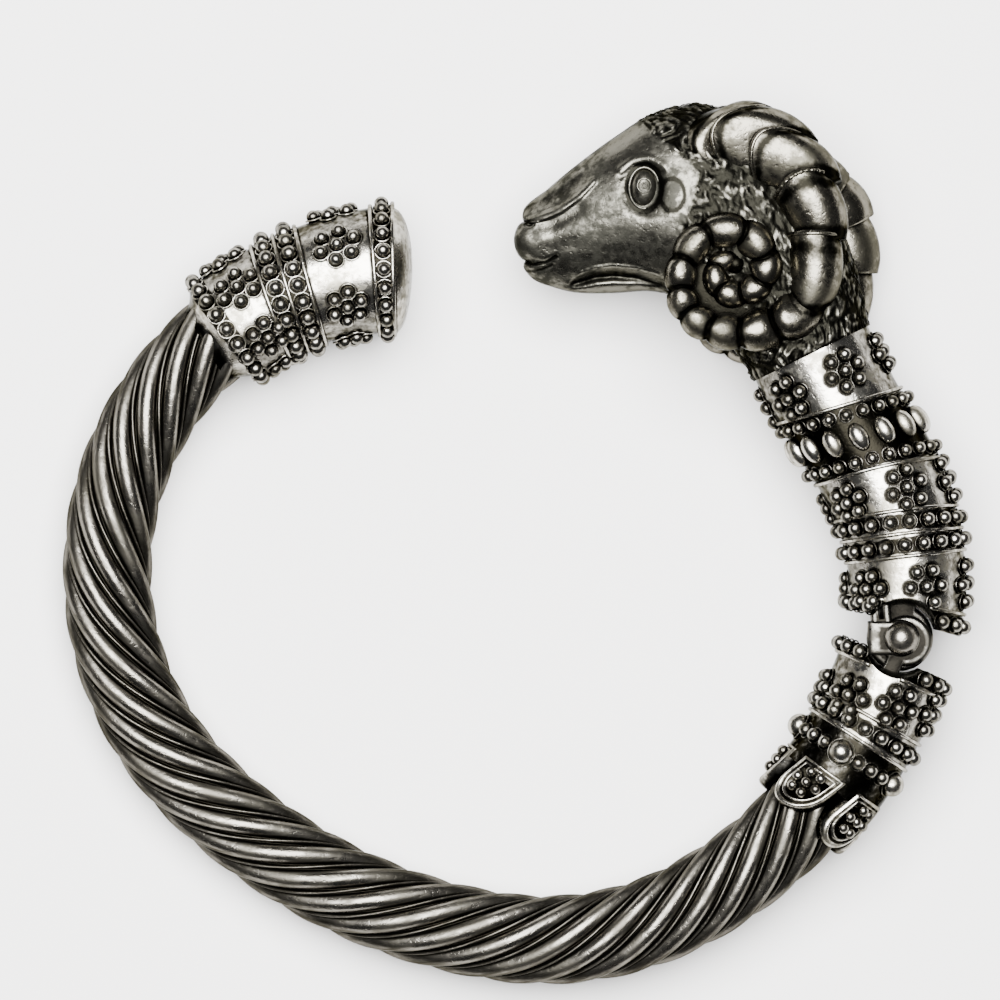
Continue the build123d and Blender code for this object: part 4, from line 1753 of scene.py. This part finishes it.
@dataclass
class RamHorns(HeadPiece):
    """Two coiled horns that lie on both sides of the head and are one casting with it."""

    coil: tuple[float, float] = (6.6, 7.6)
    setback: float = 2.9
    drop: float = 2.6
    coil_setback: float = 1.7
    coil_drop: float = 1.1
    sink: float = 0.9
    coil_sink: float = 0.15
    rows: int = 20
    columns: int = 36
    rim_joints: tuple[int, ...] = (1, 2, 3, 4)
    beaded_joint: int = 3
    rim_steps: int = 144
    rim_radius: float = 0.17
    rim_beads: float = 0.04
    plate: tuple[float, float] = (7.1, 6.1)
    plate_size: Triple = (3.9, 4.0, 0.7)
    plate_level: float = 4.8

    def create(self) -> None:
        """Makes both horns as a piece of its own that rides with the head."""
        for side in (1, -1):
            self.horn(side)
        self.finish("horns", Body.ARM)

    def joints(self, side: int) -> np.ndarray:
        """Gives the joints: the near horn sinks into the head, the far one lies back and lower.

        Args:
            side: 1 for the near horn, -1 for the far one.

        Returns:
            One row for each joint: forward, up, side, thickness, lag and pinch.
        """
        table = np.array([[j.forward, j.up, j.side, j.thick, j.lag, j.pinch] for j in JOINTS])
        order = np.arange(len(table))
        if side > 0:
            table[:, 2] -= np.interp(order, (0, 6, 8), (self.sink, self.sink, self.coil_sink))
        else:
            back = (self.setback, self.setback, self.coil_setback)
            down = (self.drop, self.drop, self.coil_drop)
            table[:, 0] -= np.interp(order, (0, 4, 7), back)
            table[:, 1] -= np.interp(order, (0, 4, 7), down)
            table[:3, 3] -= (0.8, 0.6, 0.2)
        return table

    def horn(self, side: int) -> None:
        """Adds a horn: segments between its joints, a core in the coil and the plate behind.

        Args:
            side: 1 for the near horn, -1 for the far one.
        """
        table = self.joints(side)
        for k in range(len(table) - 1):
            self.segment(table, k, side)
        back, drop = (self.coil_setback, self.coil_drop) if side < 0 else (0.0, 0.0)
        core = self.place(self.coil[0] - back, self.coil[1] - drop, side * 5.4)
        away = np.array([[0, 0, float(side)]])
        self.shell.balls(core, away, 0.9, sides=24, rings=15, tone=0.85)
        tilt = np.linspace(-86, 86, 15)[:, None]
        turn = around(48)[None, :]
        wide, tall, thick = self.plate_size
        forward = self.plate[0] - back + wide * cosine(tilt) * cosine(turn)
        up = self.plate[1] - drop - side * tall * cosine(tilt) * sine(turn)
        level = side * (self.plate_level + thick * sine(tilt))
        self.shell.grid(self.place(forward, up, level), 1.0)

    def segment(self, table: np.ndarray, k: int, side: int) -> None:
        """Adds the horn's segment after a joint, shingled at first and round in the coil.

        It swells with a power of the sine of its length. On the near side it is widest at its start
        and on the outer side at its end, and its near side lies further back by the joint's lag.
        The first one is drawn out into the head.

        Args:
            table: Rows of the joints.
            k: Number of the joint.
            side: 1 for the near horn, -1 for the far one.
        """
        turn = np.radians(around(self.columns))[None, :]
        near, outside = np.cos(turn), np.sin(turn)
        t = np.linspace(-0.06 - (k == 0), 1.06, self.rows)
        row = through(table, np.clip(k + t, 0, None))
        before = np.clip(-k - t - 0.06, 0, None)
        row[:, 0] += before * 2.4
        row[:, 2] -= before * 2.5
        row[:, 3] -= before * 1.2
        spot = self.place(row[:, 0], row[:, 1], side * row[:, 2])
        thick, lag, pinch = row[:, 3:4], row[:, 4:5], row[:, 5:6]
        run = np.gradient(spot, axis=0)
        run /= np.linalg.norm(run, axis=1, keepdims=True)
        top = np.array([0, 0, float(side)]) - run * (run[:, 2:] * side)
        top /= np.linalg.norm(top, axis=1, keepdims=True)
        outer = np.cross(top, run)
        back = min(0, side) * self.coil_setback
        middle = self.place(self.coil[0] + back, self.coil[1], side * 5.9)
        outer *= np.sign((outer * (spot - middle)).sum())
        share = np.clip(t, 0, 1)[:, None]
        big = np.clip((0.5 - pinch) / 0.35, 0, 1)
        swell = np.sin(math.pi * (0.03 + 0.94 * share)) ** 0.62
        flare = 0.03 if k < 2 else 0.13
        tilt = big * (1 - 2 * share) * (0.09 * near - flare * outside)
        radius = thick * (1.0 + 0.30 * (1 - big) - pinch * (1 - swell) + tilt)
        shift = -lag * thick * np.clip(near, -0.2, 1) ** 2 * np.sign(near)
        ring = near[..., None] * top[:, None] + outside[..., None] * outer[:, None]
        points = spot[:, None] + radius[..., None] * ring + shift[..., None] * run[:, None]
        end = smooth(0.72, 1.0, share) * smooth(-0.6, 0.4, near)
        start = (1 - smooth(0.0, 0.26, share)) * smooth(-0.2, 0.6, outside)
        olive = bell(share - 0.2, 0.17) * smooth(0.0, 0.7, near) * big
        both = (1 - smooth(0.03, 0.20, np.minimum(share, 1 - share)) + 0 * near) * (1 - big)
        # Painted shade on the side of each horn that faces the head, reaching round to its edges:
        # strong on the near horn, faint on the far one.
        under = (0.95 if side > 0 else 0.3) * (1 - smooth(-0.35, 0.30, near)) + 0 * share
        darks = [0.95 * end, 0.9 * start, 0.75 * olive, 0.98 * both, under]
        self.shell.grid(points, np.maximum.reduce(darks))
        if k in self.rim_joints:
            self.rim(points[1], k == self.beaded_joint)

    def rim(self, path: np.ndarray, beaded: bool) -> None:
        """Adds a raised rim along a segment's edge.

        Args:
            path: Points of the edge, one in each row.
            beaded: Whether the rim swells and thins like a row of beads.
        """
        count = len(path)
        steps = np.arange(self.rim_steps) * count / self.rim_steps
        closed = np.concatenate([path, path[:1]])
        fine = [np.interp(steps, np.arange(count + 1), closed[:, i]) for i in range(3)]
        waves = np.cos(np.arange(self.rim_steps) * math.pi / 2) * beaded
        radius = self.rim_radius + self.rim_beads * waves
        self.shell.cord(np.stack(fine, 1), radius, sides=6, tarnish_and_shade=0.0)


@dataclass(frozen=True)
class Lug:
    """Lug of the hinge: lower and upper height, radius, stem's half width, heading and length.

    The shift moves it sideways.
    """

    low: float
    high: float
    radius: float
    stem: float
    heading: float
    length: float
    shift: float = 0.0


@dataclass
class Hinge(Piece):
    """Knuckles, pin and ball heads of the hinge."""

    pin_place: float = 136.0
    pin_radius: float = 0.85
    ball: float = 1.45
    tongue: float = 2.3
    gap: float = 0.15
    bevel: float = 0.36
    edge_dark: float = 0.16
    face_dark: float = 0.8

    def outline(self, row: Lug) -> np.ndarray:
        """Gives a lug's outline: an arc about the pin and a straight stem.

        Args:
            row: Its sizes.

        Returns:
            One point in each row, along the heading and across it, from the middle of the arc.
        """
        spread = math.degrees(math.asin(min(1.0, row.stem / row.radius)))
        bow = np.linspace(spread, 360 - spread, 49)
        side = np.linspace(row.radius * math.cos(math.radians(spread)), row.length, 8)
        width = np.linspace(-row.stem, row.stem, 9)[1:-1]
        parts = (
            [row.radius * cosine(bow), row.radius * sine(bow)],
            [side[1:], np.full(7, -row.stem)],
            [np.full(7, row.length), width],
            [side[:0:-1], np.full(7, row.stem)],
        )
        outline = np.concatenate([np.stack(part, 1) for part in parts])
        return np.roll(outline, -(len(bow) // 2), 0)

    def lug(self, row: Lug) -> None:
        """Adds a lug: its outline raised with eased edges.

        Args:
            row: Its sizes.
        """
        pin = self.line.spots(self.pin_place)[0]
        run = np.array([cosine(row.heading), sine(row.heading), 0.0])
        cross = np.array([-run[1], run[0], 0.0])
        ease = np.linspace(0, 90, 6)
        out, up = self.bevel * (1 - sine(ease)), self.bevel * (1 - cosine(ease))
        inset = np.concatenate([out, up, [self.bevel + 0.3]])
        height = np.concatenate([row.low + up, row.high - out, [row.high + 0.04]])
        flat = self.outline(row)[None] * (1 - inset / row.radius)[:, None, None]
        flat[..., 1] += row.shift
        points = pin + flat[..., :1] * run + flat[..., 1:] * cross + height[:, None, None] * UP
        edge = np.abs(inset - self.bevel / 2) < self.bevel * 0.6
        tarnish_and_shade = np.where(edge, self.edge_dark, self.face_dark)[:, None]
        tarnish_and_shade[:3] = 0.95
        self.shell.grid(points, tarnish_and_shade)

    def create_tongue(self) -> None:
        """Makes the collar's middle lug as a piece of its own that rides on the hoop."""
        half = self.tongue / 2
        self.lug(Lug(-half, half, 2.2, 0.75, -118.0, 5.6, 0.55))
        self.finish("tongue", Body.HOOP)

    def create_fork(self) -> None:
        """Makes the sleeve's two lugs, the upper one with a post, which ride on the arm."""
        low = self.tongue / 2 + self.gap
        high = low + self.tongue
        self.lug(Lug(low, high, 1.6, 1.45, 180.0, 2.85))
        self.lug(Lug(low, high - 0.35, 1.0, 0.9, 96.0, 5.2, 1.5))
        self.lug(Lug(-high, -low, 2.85, 1.5, 92.0, 4.8))
        self.finish("fork", Body.ARM)

    def create_pin(self) -> None:
        """Makes the pin's shaft and ball heads."""
        seat = 1.5 * self.tongue + 2 * self.gap + math.sqrt(self.ball**2 - self.pin_radius**2)
        pin = self.line.spots(self.pin_place)[0]
        for side in (1, -1):
            up = np.array([[0.0, 0.0, float(side)]])
            self.shell.balls(pin + up * seat, up, self.ball, sides=32, rings=20)
        path = pin + np.linspace(-seat, seat, 12)[:, None] * UP
        self.shell.cord(path, self.pin_radius, closed=False, sides=20, tarnish_and_shade=0.7)
        self.finish("pin", Body.HOOP, "hinge_pin")


@dataclass
class Studio:
    """Floor, camera and light. The camera's lengths are in millimetres, the light's in metres."""

    lie: Lie
    middle: Triple = (9.06, -19.78, 0.0)
    width: float = 85.7
    distance: float = 1800.0
    sensor: float = 36.0
    floor_size: float = 3.0
    paper: Triple = (0.86, 0.85, 0.84)
    paper_rough: float = 0.7
    air: Triple = (0.9, 0.93, 1.0)
    air_strength: float = 0.06
    lamp_spot: Triple = (-0.06, 0.12, 0.75)
    lamp_size: float = 0.72
    lamp_power: float = 39.0

    def floor(self) -> None:
        """Lays a pale floor under the bangle."""
        mesh = bpy.data.meshes.new("floor")
        size = self.floor_size
        corners = [(-size, -size, 0), (size, -size, 0), (size, size, 0), (-size, size, 0)]
        mesh.from_pydata(corners, [], [(0, 1, 2, 3)])
        floor = bpy.data.objects.new("floor", mesh)
        material = bpy.data.materials.new("paper")
        material.use_nodes = True
        body = material.node_tree.nodes["Principled BSDF"]
        body.inputs["Base Color"].default_value = (*self.paper, 1)
        body.inputs["Roughness"].default_value = self.paper_rough
        mesh.materials.append(material)
        bpy.context.scene.collection.objects.link(floor)

    def camera(self) -> None:
        """Sets a long lens straight over the oval, square to the drawing."""
        axes = self.lie.axes()
        right, up, back = (axes @ v for v in np.eye(3))
        spot = self.lie.place(np.array([self.middle]))[0] + back * self.distance * MM
        data = bpy.data.cameras.new("camera")
        data.sensor_width = self.sensor
        data.lens = self.sensor * self.distance / self.width
        data.clip_end = 20
        camera = bpy.data.objects.new("camera", data)
        rows = [[right[i], up[i], back[i], spot[i]] for i in range(3)]
        camera.matrix_world = Matrix([*rows, [0, 0, 0, 1]])
        bpy.context.scene.collection.objects.link(camera)
        bpy.context.scene.camera = camera

    def light(self) -> None:
        """Hangs one round soft light over the bangle, aimed at it."""
        data = bpy.data.lights.new("key", "AREA")
        data.shape = "DISK"
        data.size = self.lamp_size
        data.energy = self.lamp_power
        lamp = bpy.data.objects.new("key", data)
        lamp.location = self.lamp_spot
        lamp.rotation_euler = (-Vector(self.lamp_spot)).to_track_quat("-Z", "Y").to_euler()
        bpy.context.scene.collection.objects.link(lamp)

    def create(self) -> None:
        """Sets the whole studio in a faintly lit room."""
        self.floor()
        self.camera()
        world = bpy.data.worlds.new("room")
        world.use_nodes = True
        room = world.node_tree.nodes["Background"]
        room.inputs["Color"].default_value = (*self.air, 1)
        room.inputs["Strength"].default_value = self.air_strength
        bpy.context.scene.world = world
        self.light()


def main() -> None:
    """Builds every piece in order and reports it."""
    logging.basicConfig(level=logging.INFO, format="%(name)s: %(message)s", stream=sys.stdout)
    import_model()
    line, lie = CentreLine(), Lie()
    tree = tarnished_metal()
    bar, bright = BAR_METAL.material(tree), BRIGHT_METAL.material(tree)
    Cable(line, lie, bar).create()
    EndCap(line, lie, bright).create()
    HingeCollar(line, lie, bright).create()
    joint = HINGE_METAL.material(tree)
    Hinge(line, lie, joint).create_tongue()
    Hinge(line, lie, PIN_METAL.material(tree)).create_pin()
    Hinge(line, lie, joint).create_fork()
    HeadSleeve(line, lie, bright).create()
    RamHead(line, lie, FACE_METAL.material(tree)).create()
    RamHorns(line, lie, HORN_METAL.material(tree)).create()
    Studio(lie).create()


if __name__ == "__main__":
    main()
